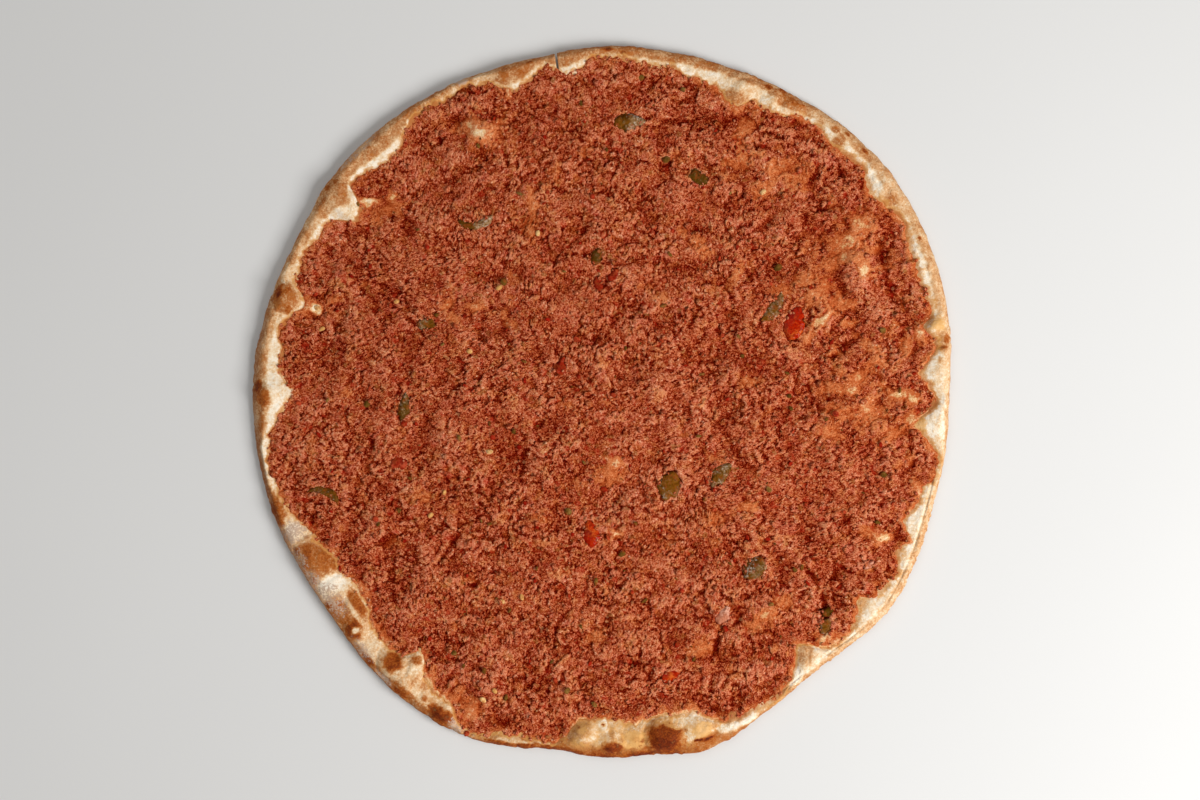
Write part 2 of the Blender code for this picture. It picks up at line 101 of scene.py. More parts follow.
# Chopped vegetables: name, x, y, length, width, turn, bend in degrees, taper
CHIPS = (
    ("green_pepper_1", 12.6, 123.2, 13, 8, 4, 0, 0.45),
    ("green_pepper_2", 42.6, 98, 9.6, 6.4, -20, -50, 0),
    ("green_pepper_3", -55.4, 79, 17, 4.4, 10, 105, -0.1),
    ("green_pepper_4", -2.2, 63.6, 7.6, 5, 78, 0, 0.2),
    ("green_pepper_5", 75, 41, 16, 5.4, 52, 62, 0),
    ("green_pepper_6", 30.2, -37, 13.2, 9.6, 68, -24, 0.1),
    ("green_pepper_7", 52.4, -32.4, 12.4, 6, 52, -24, 0.1),
    ("green_pepper_8", 67, -73.4, 12, 8.6, 48, 20, -0.2),
    ("green_pepper_9", -121.8, -41, 16.5, 3.8, -22, -95, -0.1),
    ("green_pepper_10", -87, -2.2, 12.4, 5, 78, 24, 0.1),
    ("green_pepper_11", -77, 34.2, 7.2, 5.8, 0, 0, 0),
    ("tomato_1", 85.2, 34.6, 15.8, 9.4, 74, -8, 0.3),
    ("tomato_2", -4.4, -58, 12.2, 7.2, 96, 0, 0),
    ("red_pepper_1", -18, 15.4, 7.4, 6.2, 60, 0, 0.2),
    ("red_pepper_2", -89.2, -27.2, 7.2, 6.8, 0, 0, 0),
    ("onion_1", 53.4, -94.2, 8, 5.8, 62, 0, 0.2),
)

# Marks of the oven on the rim

# Inset where the browned outer band ends: (bearing, inset)
TAN_BAND = (
    (0, 1.6), (6, 1.8), (12, 6.6), (15, 4.8), (20, 4.8), (26, 4.4), (31, 4.4), (35, 6.6), (38, 6.2),
    (43, 4.4), (50, 4.8), (55, 5.2), (58, 4.4), (66, 4), (76, 3.8), (84, 4), (88, 3.4), (92, 4.2),
    (94.5, 6.2), (97, 6), (99.5, 3.2), (102, 4.4), (104, 8), (106.5, 8.8), (108.5, 5.4), (111, 3.2),
    (117, 2.8), (121, 3.8), (124.6, 4.2), (126.4, 7.9), (128, 8.2), (132, 8.6), (136, 6.4),
    (138.6, 6.4), (140.4, 9), (142, 12.5), (144, 9.4), (148, 5.6), (152, 4.2), (156, 3.4),
    (158, 2.6), (162, 11.6), (166, 5.6), (170, 5.6), (175, 5.6), (180, 7), (184, 6), (186, 3.6),
    (188, 2), (194, 1.8), (199, 3.8), (203, 1.6), (209, 2.6), (215, 1.4), (222, 2.4), (226, 2.6),
    (230, 2.4), (236, 3.6), (240, 3), (245, 1.2), (249, 0.6), (256, 2.6), (262, 2.6), (268, 4.2),
    (276, 4.2), (284, 4.4), (289, 4), (293, 1.4), (300, 1), (312, 1.6), (318, 2.8), (326, 3.4),
    (334, 2.8), (341, 2.6), (349, 1),
)

# How far that band is baked: (bearing, level). From about 145 to 200 degrees the levels are kept
# low, which paints the band lighter, as painted light against the shade that falls on that side.
TAN_LEVEL = (
    (0, 0.25), (30, 0.3), (50, 0.33), (62, 0.42), (80, 0.44), (100, 0.41), (115, 0.36), (128, 0.41),
    (145, 0.34), (155, 0.34), (165, 0.33), (185, 0.31), (200, 0.4), (220, 0.44), (235, 0.5),
    (255, 0.54), (270, 0.56), (285, 0.5), (295, 0.4), (310, 0.3), (330, 0.26), (345, 0.26),
)

# How white the dough between that band and the meat is: (bearing, share)
WHITE_BAND = (
    (0, 1), (8, 1), (10, 0.8), (13, 0.5), (17, 0.85), (24, 0.95), (29, 0.85), (32, 0.7), (35, 0.35),
    (38, 1), (42, 0.8), (45, 0.9), (47.5, 0.4), (50, 0.8), (54, 0.85), (57, 0.5), (60, 0.8),
    (66, 0.65), (72, 0.85), (85, 0.75), (90, 0.4), (95, 0.85), (101, 0.75), (106, 0.8), (113, 0.35),
    (120, 0.6), (125, 0.85), (131, 0.95), (138, 0.95), (144, 0.85), (150, 0.85), (156, 0.9),
    (162, 0.75), (170, 0.85), (183, 0.85), (190, 0.9), (200, 0.7), (205, 0.6), (215, 0.7),
    (222, 0.5), (228, 0.65), (236, 0.65), (244, 0.5), (250, 0.3), (255, 0.45), (263, 0.3),
    (268, 0.75), (276, 0.6), (283, 0.75), (293, 1), (301, 0.9), (309, 0.9), (315, 0.6), (322, 0.9),
    (330, 0.7), (336, 0.7), (340, 0.95), (346, 0.75), (350, 0.5), (355, 1),
)


class Tone(Enum):
    """Marks that the oven, the flour and the dough leave on the rim."""

    CHAR = "char"
    BROWN = "brown"
    GOLDEN = "golden"
    TAN = "tan"
    CREAM = "cream"
    WHITE = "white"
    FLOUR = "flour"
    YELLOW = "yellow"


CHAR, BROWN, GOLDEN, TAN, CREAM, WHITE, FLOUR, YELLOW = Tone


# How far each tone is baked, from 0 for raw white dough to 1 for charred crust
BAKED = {CHAR: 0.95, BROWN: 0.8, GOLDEN: 0.62, TAN: 0.44, CREAM: 0.2, WHITE: 0.02}

# Marks: tone, bearing, inset, half length along the rim, half width across it, strength
# A last value makes a ring of that thickness, as a share of the mark's size. The pale rings round
# the blisters are partly paler dough and partly a painted highlight on their rims.
MARKS = (
    (WHITE, 162, 7.2, 9.2, 8.4, 0.85, 0.13), (GOLDEN, 162.2, 6.6, 7.4, 6.8, 0.5),
    (BROWN, 161, 3.2, 3.4, 1.6, 0.75), (BROWN, 163.6, 9.8, 2.4, 1.4, 0.6),
    (BROWN, 160.4, 6.4, 1.8, 1.3, 0.45), (CHAR, 161.6, 3.4, 1.2, 0.8, 0.55),
    (GOLDEN, 166.4, 9.8, 3, 1.8, 0.6), (GOLDEN, 179.4, 5.6, 4.4, 3.2, 0.9),
    (BROWN, 177.6, 3, 2.8, 1.7, 0.95), (GOLDEN, 183.4, 3.8, 5, 1.6, 0.5),
    (BROWN, 199.4, 2.4, 5, 1.7, 0.7), (GOLDEN, 198.4, 3, 7, 2.6, 0.7),
    (CREAM, 209, 9.6, 11, 7, 0.8, 0.14), (GOLDEN, 209, 9, 9.4, 6.8, 0.74),
    (BROWN, 207, 6.4, 3.4, 2, 0.25), (TAN, 210.6, 7.4, 3.4, 1.8, 0.5),
    (GOLDEN, 209.4, 14, 8.4, 1.9, 1), (BROWN, 206.2, 3, 2, 1.4, 0.7),
    (BROWN, 212, 2.8, 1.9, 1.3, 0.6), (BROWN, 209.2, 3.6, 2.2, 1.1, 0.5),
    (BROWN, 216.7, 2.2, 2, 1.3, 0.8), (BROWN, 218.8, 2.4, 2.6, 1.3, 0.8),
    (GOLDEN, 218.8, 5.2, 7, 4.4, 0.7), (GOLDEN, 219.6, 13, 7.4, 2.8, 1),
    (BROWN, 219.6, 12.6, 5.2, 1, 0.35), (BROWN, 222.7, 5.4, 4.6, 3.8, 1),
    (WHITE, 222.9, 5.6, 1.4, 1.9, 0.75), (BROWN, 217.8, 6.6, 1.6, 1.5, 0.55),
    (BROWN, 220.6, 3.2, 1.4, 1.2, 0.5), (CREAM, 219.8, 9.9, 9, 1, 0.7),
    (CREAM, 220.4, 16.2, 8, 1, 0.8), (BROWN, 227.8, 2, 3.6, 1.4, 0.95),
    (CREAM, 231.2, 9.6, 6, 5.4, 0.8, 0.16), (BROWN, 231.2, 9.6, 4.4, 4, 0.9),
    (GOLDEN, 235, 2.6, 5.6, 2.2, 0.9), (BROWN, 235, 1.8, 3.4, 1.2, 0.8),
    (GOLDEN, 234.4, 17.4, 2.6, 2, 0.8), (TAN, 236.3, 9.6, 0.9, 4, 0.5),
    (TAN, 238.2, 11, 1.8, 3.4, 0.6), (GOLDEN, 239.2, 6, 1.6, 1.2, 0.6),
    (BROWN, 242.8, 4.2, 5.8, 3.1, 0.95), (CHAR, 242.2, 3.4, 3.4, 1.5, 0.4),
    (BROWN, 245, 4.2, 1.2, 1.4, 0.95), (CREAM, 242.8, 8.4, 6.6, 1, 0.8),
    (CREAM, 255.6, 2.8, 8, 0.8, 0.8), (CREAM, 261, 3.2, 5, 0.8, 0.8),
    (BROWN, 253, 1.2, 6, 1.2, 0.75), (BROWN, 257.6, 1, 5.4, 1.2, 0.85),
    (BROWN, 261.4, 1, 4.6, 1.2, 0.8), (GOLDEN, 257.6, 5.2, 3, 1.6, 0.8),
    (BROWN, 265.2, 1.2, 5.4, 1.5, 0.85), (BROWN, 270.6, 1.4, 7.6, 2, 0.95),
    (BROWN, 276, 1.2, 7.6, 1.7, 0.95), (BROWN, 282.4, 1.2, 4.6, 1.4, 0.8),
    (CHAR, 276.6, 0.8, 5, 0.8, 0.5), (GOLDEN, 272, 3.4, 14, 2.2, 0.6),
    (GOLDEN, 266, 4.4, 8, 2.6, 0.6), (YELLOW, 266, 4.4, 7, 2.8, 0.5),
    (CREAM, 266.6, 11.8, 5.4, 5.2, 0.85, 0.15), (TAN, 266.4, 12, 4, 3.8, 0.8),
    (YELLOW, 266.4, 12, 3.4, 3.2, 0.6), (BROWN, 266, 12.4, 1.1, 0.9, 0.5),
    (YELLOW, 277, 9, 36, 9, 0.34), (BROWN, 271.7, 5, 4.2, 2.9, 0.85),
    (CHAR, 271.5, 4.2, 2.2, 1.3, 0.4), (CHAR, 270.3, 14.8, 0.6, 0.55, 1),
    (WHITE, 270.3, 14.8, 2, 1.9, 0.9, 0.35), (TAN, 271.8, 10.6, 1.2, 3, 0.7),
    (YELLOW, 275.6, 8.2, 6, 4.4, 0.95), (GOLDEN, 275.8, 8.2, 2.6, 1.7, 0.7),
    (GOLDEN, 273.6, 8.8, 1.2, 2.6, 0.4), (CREAM, 280.8, 10, 9.2, 6.4, 0.7, 0.12),
    (BROWN, 280.5, 7.4, 8.8, 6.6, 1), (CHAR, 280, 5.2, 5.2, 3.2, 0.55),
    (BROWN, 281, 10.4, 7, 2.2, 0.9), (GOLDEN, 287.2, 4.6, 6.6, 2.6, 0.95),
    (CHAR, 286, 5.8, 2.2, 0.7, 0.9), (CHAR, 287.6, 5, 2.6, 0.7, 1),
    (YELLOW, 287, 9.8, 5.2, 3.2, 0.9), (TAN, 289.6, 9, 3, 1.6, 0.6),
    (GOLDEN, 285, 1.8, 8, 1.8, 0.7), (BROWN, 27.2, 3.6, 0.8, 0.7, 0.9),
    (BROWN, 43.5, 2.4, 1.7, 0.9, 0.8), (BROWN, 47.4, 2, 1.3, 0.8, 0.7),
    (GOLDEN, 49.2, 3.6, 2.2, 1.4, 0.7), (BROWN, 55.6, 2.6, 1.1, 0.8, 0.7),
    (BROWN, 57.3, 3.2, 2, 1.5, 0.85), (BROWN, 59.7, 1.3, 2, 1.2, 0.95),
    (BROWN, 62, 2.2, 1.8, 1, 0.8), (GOLDEN, 58, 4, 8, 3, 0.6), (GOLDEN, 47.6, 6.4, 2.2, 3, 0.6),
    (GOLDEN, 35, 7.4, 3, 3, 0.35), (BROWN, 89, 1.8, 1.9, 0.9, 0.8), (BROWN, 86.4, 3, 1.2, 0.8, 0.6),
    (BROWN, 102, 1.8, 1.2, 0.8, 0.6), (GOLDEN, 104.6, 3.8, 7, 3, 0.45),
    (BROWN, 142, 1.6, 1.8, 1.3, 0.6), (BROWN, 140.4, 2.8, 1.2, 1, 0.5),
    (TAN, 141.8, 8.4, 3.2, 5.6, 0.5), (BROWN, 144.2, 3.4, 1.6, 0.8, 0.4),
    (BROWN, 9, 4.4, 0.7, 3, 0.75), (GOLDEN, 10.3, 2, 2.2, 1.3, 0.95),
    (CREAM, 12.8, 5.2, 2.6, 4.6, 0.8), (YELLOW, 12.8, 5.6, 2.8, 4.6, 0.6),
    (TAN, 7, 5.4, 1.6, 0.6, 0.6), (FLOUR, 203, 4.8, 4.4, 6, 0.8), (FLOUR, 207.6, 2, 7.4, 3, 0.5),
    (FLOUR, 212.4, 2.8, 7.4, 3.4, 0.62), (FLOUR, 215, 4.6, 4.8, 4.6, 0.7),
    (FLOUR, 217.8, 5.4, 5.6, 4.4, 0.55), (FLOUR, 226, 3, 6, 2.8, 0.6),
    (WHITE, 213.6, 8.4, 2.8, 5.4, 0.8), (WHITE, 215.2, 12.4, 3.4, 2, 0.6),
    (WHITE, 202.2, 5.6, 2, 3, 0.5), (CREAM, 225.4, 8.6, 5, 3, 0.7), (FLOUR, 232, 1.4, 5, 1.4, 0.7),
    (FLOUR, 113.6, 1.2, 2.6, 1.8, 0.85), (FLOUR, 134, 1.2, 12, 1.8, 0.55),
    (CREAM, 157.4, 4.6, 4, 3, 0.8), (FLOUR, 246, 3, 4, 3.6, 0.75),
    (TAN, 66.6, 13.2, 6.4, 4.4, 0.75), (TAN, 308.8, 11, 5.4, 6, 0.6),
    (TAN, 321.8, 12, 3.4, 3.8, 0.5), (YELLOW, 355.6, 12.8, 4.6, 3.4, 0.8),
    (CREAM, 4, 4.5, 9, 4, 0.5),
)


def smoothstep(value: Array) -> Array:
    """Ease values from 0 to 1, held at both ends."""
    held = np.clip(value, 0.0, 1.0)
    return held * held * (3.0 - 2.0 * held)


def turn_from(start: float, bearing: Array) -> Array:
    """Return the turn from one bearing to others, from -180 to 180 degrees."""
    return (bearing - start + 180.0) % 360.0 - 180.0


def angle_between(bearing: Array, other: float) -> Array:
    """Return the smaller angle between bearings, in degrees."""
    return np.abs(turn_from(other, bearing))


def spot(radius: Array | float, bearing: Array) -> tuple[Array, Array]:
    """Return the coordinates of points at a radius and a bearing."""
    turn = np.radians(bearing)
    return radius * np.cos(turn), radius * np.sin(turn)


def bearing_of(x: Array, y: Array) -> Array:
    """Return the bearing of points, in degrees."""
    return np.degrees(np.arctan2(y, x))


def hermite(t: Array | float, ends: tuple[Array, Array], pulls: tuple[Array, Array]) -> Array:
    """Read a smooth curve between two ends.

    Args:
        t: Places on the curve, from 0 to 1.
        ends: Where the curve starts and ends.
        pulls: Its direction at both ends, times the distance between them.

    Returns:
        The points at those places.
    """
    return ((2 * t**3 - 3 * t**2 + 1) * ends[0] + (t**3 - 2 * t**2 + t) * pulls[0]
            + (3 * t**2 - 2 * t**3) * ends[1] + (t**3 - t**2) * pulls[1])


@dataclass(frozen=True)
class RoundCurve:
    """Smooth closed curve through (bearing, value) stations."""

    stations: tuple[tuple[float, float], ...]

    def at(self, bearing: Array | float) -> Array:
        """Read the curve.

        Args:
            bearing: Bearings in degrees.

        Returns:
            The curve's values, in the shape of the bearings.
        """
        places, values = np.array(self.stations, dtype=float).T
        rises, runs = (np.roll(row, -1) - np.roll(row, 1) for row in (values, places))
        slopes = rises / (runs % 360.0)
        turn = np.asarray(bearing, dtype=float) % 360.0
        first = np.searchsorted(places, turn, side="right") - 1
        last = (first + 1) % len(places)
        span = (places[last] - places[first]) % 360.0
        pulls = slopes[first] * span, slopes[last] * span
        return hermite((turn - places[first]) / span, (values[first], values[last]), pulls)


@dataclass(frozen=True)
class Sector:
    """Stretch of the rim that fades out at both ends."""

    centre: float
    half_angle: float
    run: float

    def cover(self, bearing: Array) -> Array:
        """Return how far bearings lie inside it, from 0 to 1."""
        return smoothstep((self.half_angle - angle_between(bearing, self.centre)) / self.run)


class Grain:
    """Smooth seeded noise over points in space."""

    flat_level = 3.3

    def __init__(self, seed: int) -> None:
        """Draw the slopes that the noise has at the corners of its lattice.

        Args:
            seed: Seed of the draw.
        """
        draw = np.random.default_rng(seed)
        self.order = draw.permutation(256)
        slopes = draw.normal(size=(256, 3))
        self.slopes = slopes / np.linalg.norm(slopes, axis=1, keepdims=True)

    def at(self, points: Array, length: float) -> Array:
        """Read the noise.

        Args:
            points: Points, with their three coordinates on the last axis.
            length: Length of one wave.

        Returns:
            Values from about -1 to 1, in the shape of the points.
        """
        scaled = np.asarray(points, dtype=float).reshape(-1, 3) / length
        base = np.floor(scaled).astype(int)
        part = scaled - base
        ease = part**3 * (part * (6.0 * part - 15.0) + 10.0)
        total = np.zeros(len(scaled))
        for corner in itertools.product((0, 1), repeat=3):
            key = np.zeros(len(scaled), dtype=int)
            weight = np.ones(len(scaled))
            for axis in range(3):
                key = self.order[(key + base[:, axis] + corner[axis]) & 255]
                weight *= ease[:, axis] if corner[axis] else 1.0 - ease[:, axis]
            total += weight * np.einsum("ij,ij->i", self.slopes[key], part - np.array(corner))
        return total.reshape(np.shape(points)[:-1]) * 1.7

    def flat(self, x: Array, y: Array, length: float) -> Array:
        """Read the noise on one level plane."""
        return self.at(np.stack([x, y, np.full(np.shape(x), self.flat_level)], axis=-1), length)


@dataclass(frozen=True)
class Crumble:
    """Flakes of about one size, strewn so that they overlap.

    The size is that of a flake's cell in millimetres, and reach a share of it. The step is how
    far flakes differ in height, and dome how far their middles rise.
    """

    size: float
    reach: float
    step: float
    slant: float
    dome: float
    pit: float
    patchy: float


class Heap:
    """Seeded flakes strewn over the plane, each with its own place, shape, height and slant."""

    def __init__(self, seed: int) -> None:
        """Draw the places of the flakes, and seven traits from -1 to 1 for each.

        Args:
            seed: Seed of the draw.
        """
        draw = np.random.default_rng(seed)
        self.places = draw.random((256, 256, 2))
        self.traits = draw.uniform(-1.0, 1.0, (256, 256, 7)).astype(np.float32)

    def at(self, x: Array, y: Array, kind: Crumble) -> tuple[Array, Array]:
        """Measure the top of the heap.

        Args:
            x: First coordinates.
            y: Second coordinates.
            kind: Sizes of the flakes.

        Returns:
            The height of the highest flake at each point, and its traits.
        """
        grid = np.column_stack([np.ravel(x), np.ravel(y)]) / kind.size
        base = np.floor(grid).astype(int)
        top = np.full(len(grid), -kind.pit)
        seen = np.zeros((len(grid), 7), dtype=np.float32)
        for step in itertools.product((-1, 0, 1), repeat=2):
            cell = (base + np.array(step)) & 255
            traits = self.traits[cell[:, 0], cell[:, 1]]
            away = grid - base - np.array(step) - self.places[cell[:, 0], cell[:, 1]]
            swing = traits[:, 0] * math.pi
            cos, sin = np.cos(swing), np.sin(swing)
            reach = kind.reach * (1.0 + 0.3 * traits[:, 1])
            along = (away[:, 0] * cos + away[:, 1] * sin) / reach
            across = (away[:, 1] * cos - away[:, 0] * sin) / (reach * (0.72 + 0.26 * traits[:, 2]))
            gap = along**2 + across**2
            tilt = (traits[:, 4] * away[:, 0] + traits[:, 5] * away[:, 1]) * kind.size * kind.slant
            height = kind.step * traits[:, 3] + tilt + kind.dome * (1.0 - gap**1.5)
            better = (gap < 1.0) & (height > top)
            top = np.where(better, height, top)
            seen[better] = traits[better]
        return top, seen


def spread(grid: Array, reach: int) -> Array:
    """Average a grid twice over squares.

    Args:
        grid: The values.
        reach: How many places the squares reach each way.

    Returns:
        The averaged grid.
    """
    width = 2 * reach + 1
    for axis in (0, 1, 0, 1):
        padding = [(0, 0), (0, 0)]
        padding[axis] = (reach + 1, reach)
        total = np.cumsum(np.pad(grid, padding, mode="edge"), axis=axis)
        grid = (np.take(total, range(width, total.shape[axis]), axis=axis)
                - np.take(total, range(0, total.shape[axis] - width), axis=axis)) / width
    return grid


# Shader writing


class Sock:
    """One output of a node that takes part in Python expressions."""

    def __init__(self, board: "Board", out: bpy.types.NodeSocket) -> None:
        """Wrap a node's output."""
        self.board = board
        self.out = out

    def __add__(self, other: "Sock | float") -> "Sock":
        """Add two values."""
        return self.board.math("ADD", self, other)

    def __radd__(self, other: float) -> "Sock":
        """Add two values."""
        return self.board.math("ADD", other, self)

    def __sub__(self, other: "Sock | float") -> "Sock":
        """Take one value from another."""
        return self.board.math("SUBTRACT", self, other)

    def __rsub__(self, other: float) -> "Sock":
        """Take one value from another."""
        return self.board.math("SUBTRACT", other, self)

    def __mul__(self, other: "Sock | float") -> "Sock":
        """Multiply two values."""
        return self.board.math("MULTIPLY", self, other)

    def __rmul__(self, other: float) -> "Sock":
        """Multiply two values."""
        return self.board.math("MULTIPLY", other, self)

    def rise(self, low: float, high: float) -> "Sock":
        """Ease from 0 at the low value to 1 at the high one."""
        settings = {"interpolation_type": "SMOOTHSTEP"}
        return self.board.node("ShaderNodeMapRange", settings, {0: self, 1: low, 2: high})


Value = Sock | float
Tint = Sock | Colour


class Board:
    """Node tree of one material, with a Principled shader."""

    def __init__(self, name: str, fixed: dict[str, float | Colour] | None = None) -> None:
        """Start a material.

        Args:
            name: Name of the material.
            fixed: Values that are the same all over, by the shader's socket name.
        """
        self.material = bpy.data.materials.new(name)
        self.material.use_nodes = True
        self.tree = self.material.node_tree
        self.shader = self.tree.nodes["Principled BSDF"]
        for socket, value in (fixed or {}).items():
            self.plug(self.shader.inputs[socket], value)

    def plug(self, socket: bpy.types.NodeSocket, value: Value | Colour) -> None:
        """Link a socket to an output, or set its value.

        Args:
            socket: Input of a node.
            value: What it takes.
        """
        if isinstance(value, Sock):
            self.tree.links.new(value.out, socket)
        elif isinstance(value, tuple) and socket.type == "RGBA":
            socket.default_value = (*value, 1.0)
        else:
            socket.default_value = value

    def node(
        self,
        kind: str,
        settings: dict[str, object],
        inputs: dict[int | str, Value | Colour],
        output: int | str = 0,
    ) -> Sock:
        """Add one node.

        Args:
            kind: Type of the node.
            settings: Properties to set first; "stops" gives a ramp's (place, colour) pairs.
            inputs: Values or links of its sockets.
            output: Output to return.

        Returns:
            The wrapped output.
        """
        made = self.tree.nodes.new(kind)
        for key, value in settings.items():
            if key == "stops":
                self._set_stops(made.color_ramp, value)
            else:
                setattr(made, key, value)
        for socket, value in inputs.items():
            self.plug(made.inputs[socket], value)
        return Sock(self, made.outputs[output])

    @staticmethod
    def _set_stops(ramp: bpy.types.ColorRamp, stops: Stops) -> None:
        """Give a ramp its stops.

        Args:
            ramp: The ramp, with its first two elements.
            stops: The places and colours, in order.
        """
        for element, (place, colour) in zip(ramp.elements, (stops[0], stops[-1])):
            element.position, element.color = place, (*colour, 1.0)
        for place, colour in stops[1:-1]:
            ramp.elements.new(place).color = (*colour, 1.0)

    def ramp(self, value: Sock, stops: Stops) -> Sock:
        """Return the colour that a ramp gives to a value."""
        return self.node("ShaderNodeValToRGB", {"stops": stops}, {0: value})

    def math(self, operation: str, first: Value, second: Value) -> Sock:
        """Add one Math node."""
        return self.node("ShaderNodeMath", {"operation": operation}, {0: first, 1: second})

    def mix(self, share: Value, first: Tint, second: Tint, blend: str = "MIX") -> Sock:
        """Blend two colours by a share."""
        settings = {"data_type": "RGBA", "blend_type": blend}
        return self.node("ShaderNodeMix", settings, {0: share, 6: first, 7: second}, 2)

    def spaced(self, size: float) -> dict[str, Value]:
        """Return the inputs that lay a texture over the object at a size in millimetres."""
        place = self.node("ShaderNodeTexCoord", {}, {}, "Object")
        return {"Vector": place, "Scale": 1.0 / (size * MM)}

    def cloud(
        self, size: float, detail: float = 2.0, rough: float = 0.5, warp: float = 0.0
    ) -> Sock:
        """Return noise from 0 to 1 with waves of a size in millimetres."""
        waves = {"Detail": detail, "Roughness": rough, "Distortion": warp}
        return self.node("ShaderNodeTexNoise", {}, self.spaced(size) | waves)

    def flakes(self, size: float) -> Sock:
        """Return one random value from 0 to 1 for each cell of a size in millimetres."""
        cells = self.node("ShaderNodeTexVoronoi", {"feature": "F1"}, self.spaced(size), "Color")
        return self.node("ShaderNodeSeparateColor", {}, {0: cells})

    def layer(self, name: str) -> Sock:
        """Return the values of a mesh's attribute."""
        return self.node("ShaderNodeAttribute", {"attribute_name": name}, {}, "Fac")

    def relief(self, height: Sock, depth: float, strength: float) -> Sock:
        """Return a normal bumped by a height from 0 to 1 over a depth in millimetres."""
        inputs = {"Strength": strength, "Distance": depth * MM, "Height": height}
        return self.node("ShaderNodeBump", {}, inputs)

    def finish(self, **inputs: Sock) -> bpy.types.Material:
        """Plug the shader's sockets.

        Args:
            inputs: What each takes, with underscores for the spaces of its name.

        Returns:
            The material.
        """
        for name, value in inputs.items():
            self.plug(self.shader.inputs[name.replace("_", " ")], value)
        return self.material


# Finishes


@dataclass(frozen=True)
class CrustFinish:
    """Baked dough, from white and floury to tan, golden, brown and charred."""

    baked: Stops = (
        (0.00, (0.95, 0.84, 0.68)), (0.14, (0.82, 0.60, 0.37)), (0.30, (0.67, 0.365, 0.165)),
        (0.44, (0.48, 0.195, 0.068)), (0.60, (0.42, 0.112, 0.015)), (0.78, (0.26, 0.044, 0.004)),
        (0.90, (0.14, 0.017, 0.002)), (1.00, (0.065, 0.006, 0.001)),
    )
    yellow: Colour = (0.76, 0.41, 0.13)
    flour: Colour = (0.55, 0.38, 0.275)
    oil: Colour = (0.66, 0.31, 0.085)
    stain: Colour = (0.46, 0.14, 0.032)
    # Colour multiplied in as painted shade on the leaning outer wall
    shade: Colour = (0.42, 0.20, 0.14)

    def material(self) -> bpy.types.Material:
        """Build the material.

        Returns:
            The material.
        """
        board = Board("crust_finish", {"Specular IOR Level": 0.08})
        fine = board.cloud(1.1, 4.0, 0.65) - 0.5
        broad = board.cloud(5.0, 3.0, 0.55, 0.4) - 0.5
        speck = board.cloud(0.62, 2.0, 0.6) - 0.5
        bake = board.layer("bake")
        mottle = (fine * 0.85 + broad * 0.6 + speck * 0.5) * (1.0 - bake.rise(0.6, 0.9) * 0.5)
        colour = board.ramp(bake + mottle * (0.45 + bake), self.baked)
        yellow = (board.layer("yellow") + broad + fine * 0.9).rise(0.1, 0.9)
        colour = board.mix(yellow * 0.85 * (1.0 - bake.rise(0.50, 0.72)), colour, self.yellow)
        freckle = board.cloud(1.5, 3.0, 0.7, 0.5) + bake * 0.10 + broad * 0.25
        freckle = freckle.rise(0.64, 0.74)
        colour = board.mix(freckle * bake.rise(0.16, 0.42) * 0.62, colour, self.baked[5][1])
        flour = board.layer("flour")
        dusty = (flour * 0.8 + fine * 3.2 + speck * 2.2 + broad * 1.2).rise(0.20, 0.95)
        colour = board.mix(dusty * flour.rise(0.0, 0.35), colour, self.flour)
        stain = board.layer("stain") + fine * 1.1 + broad * 0.8
        colour = board.mix(stain.rise(0.04, 0.70) * 0.8, colour, self.oil)
        colour = board.mix(stain.rise(0.55, 1.15) * 0.85, colour, self.stain)
        # Painted shade: the outer wall on the left leans away from the light and is darkened here.
        colour = board.mix(board.layer("shade"), colour, self.shade, "MULTIPLY")
        colour = board.mix(board.layer("under"), colour, self._underside(board))
        normal = board.relief(fine * 0.6 + speck * 0.4 + 0.5, 0.6, 0.9)
        rough = 0.72 + fine * 0.4 - bake * 0.12
        return board.finish(Base_Color=colour, Roughness=rough, Normal=normal)

    def _underside(self, board: Board) -> Sock:
        """Colour the base: floury dough with leopard spots from the oven floor.

        Args:
            board: The material's node tree.

        Returns:
            The colour.
        """
        drift = board.cloud(34.0, 2.0, 0.5)
        spots = board.cloud(9.0, 4.0, 0.62, 0.8) * 0.75 + drift * 0.5
        bake = board.cloud(14.0, 3.0) * 0.5
        bake = bake + spots.rise(0.58, 0.74) * 0.30 + spots.rise(0.70, 0.84) * 0.22
        colour = board.ramp(bake + (board.cloud(1.2, 3.0) - 0.5) * 0.3, self.baked)
        dust = board.cloud(1.6, 3.0, 0.7).rise(0.50, 0.7) * board.cloud(22.0, 2.0).rise(0.40, 0.6)
        return board.mix(dust * 0.8, colour, self.flour)


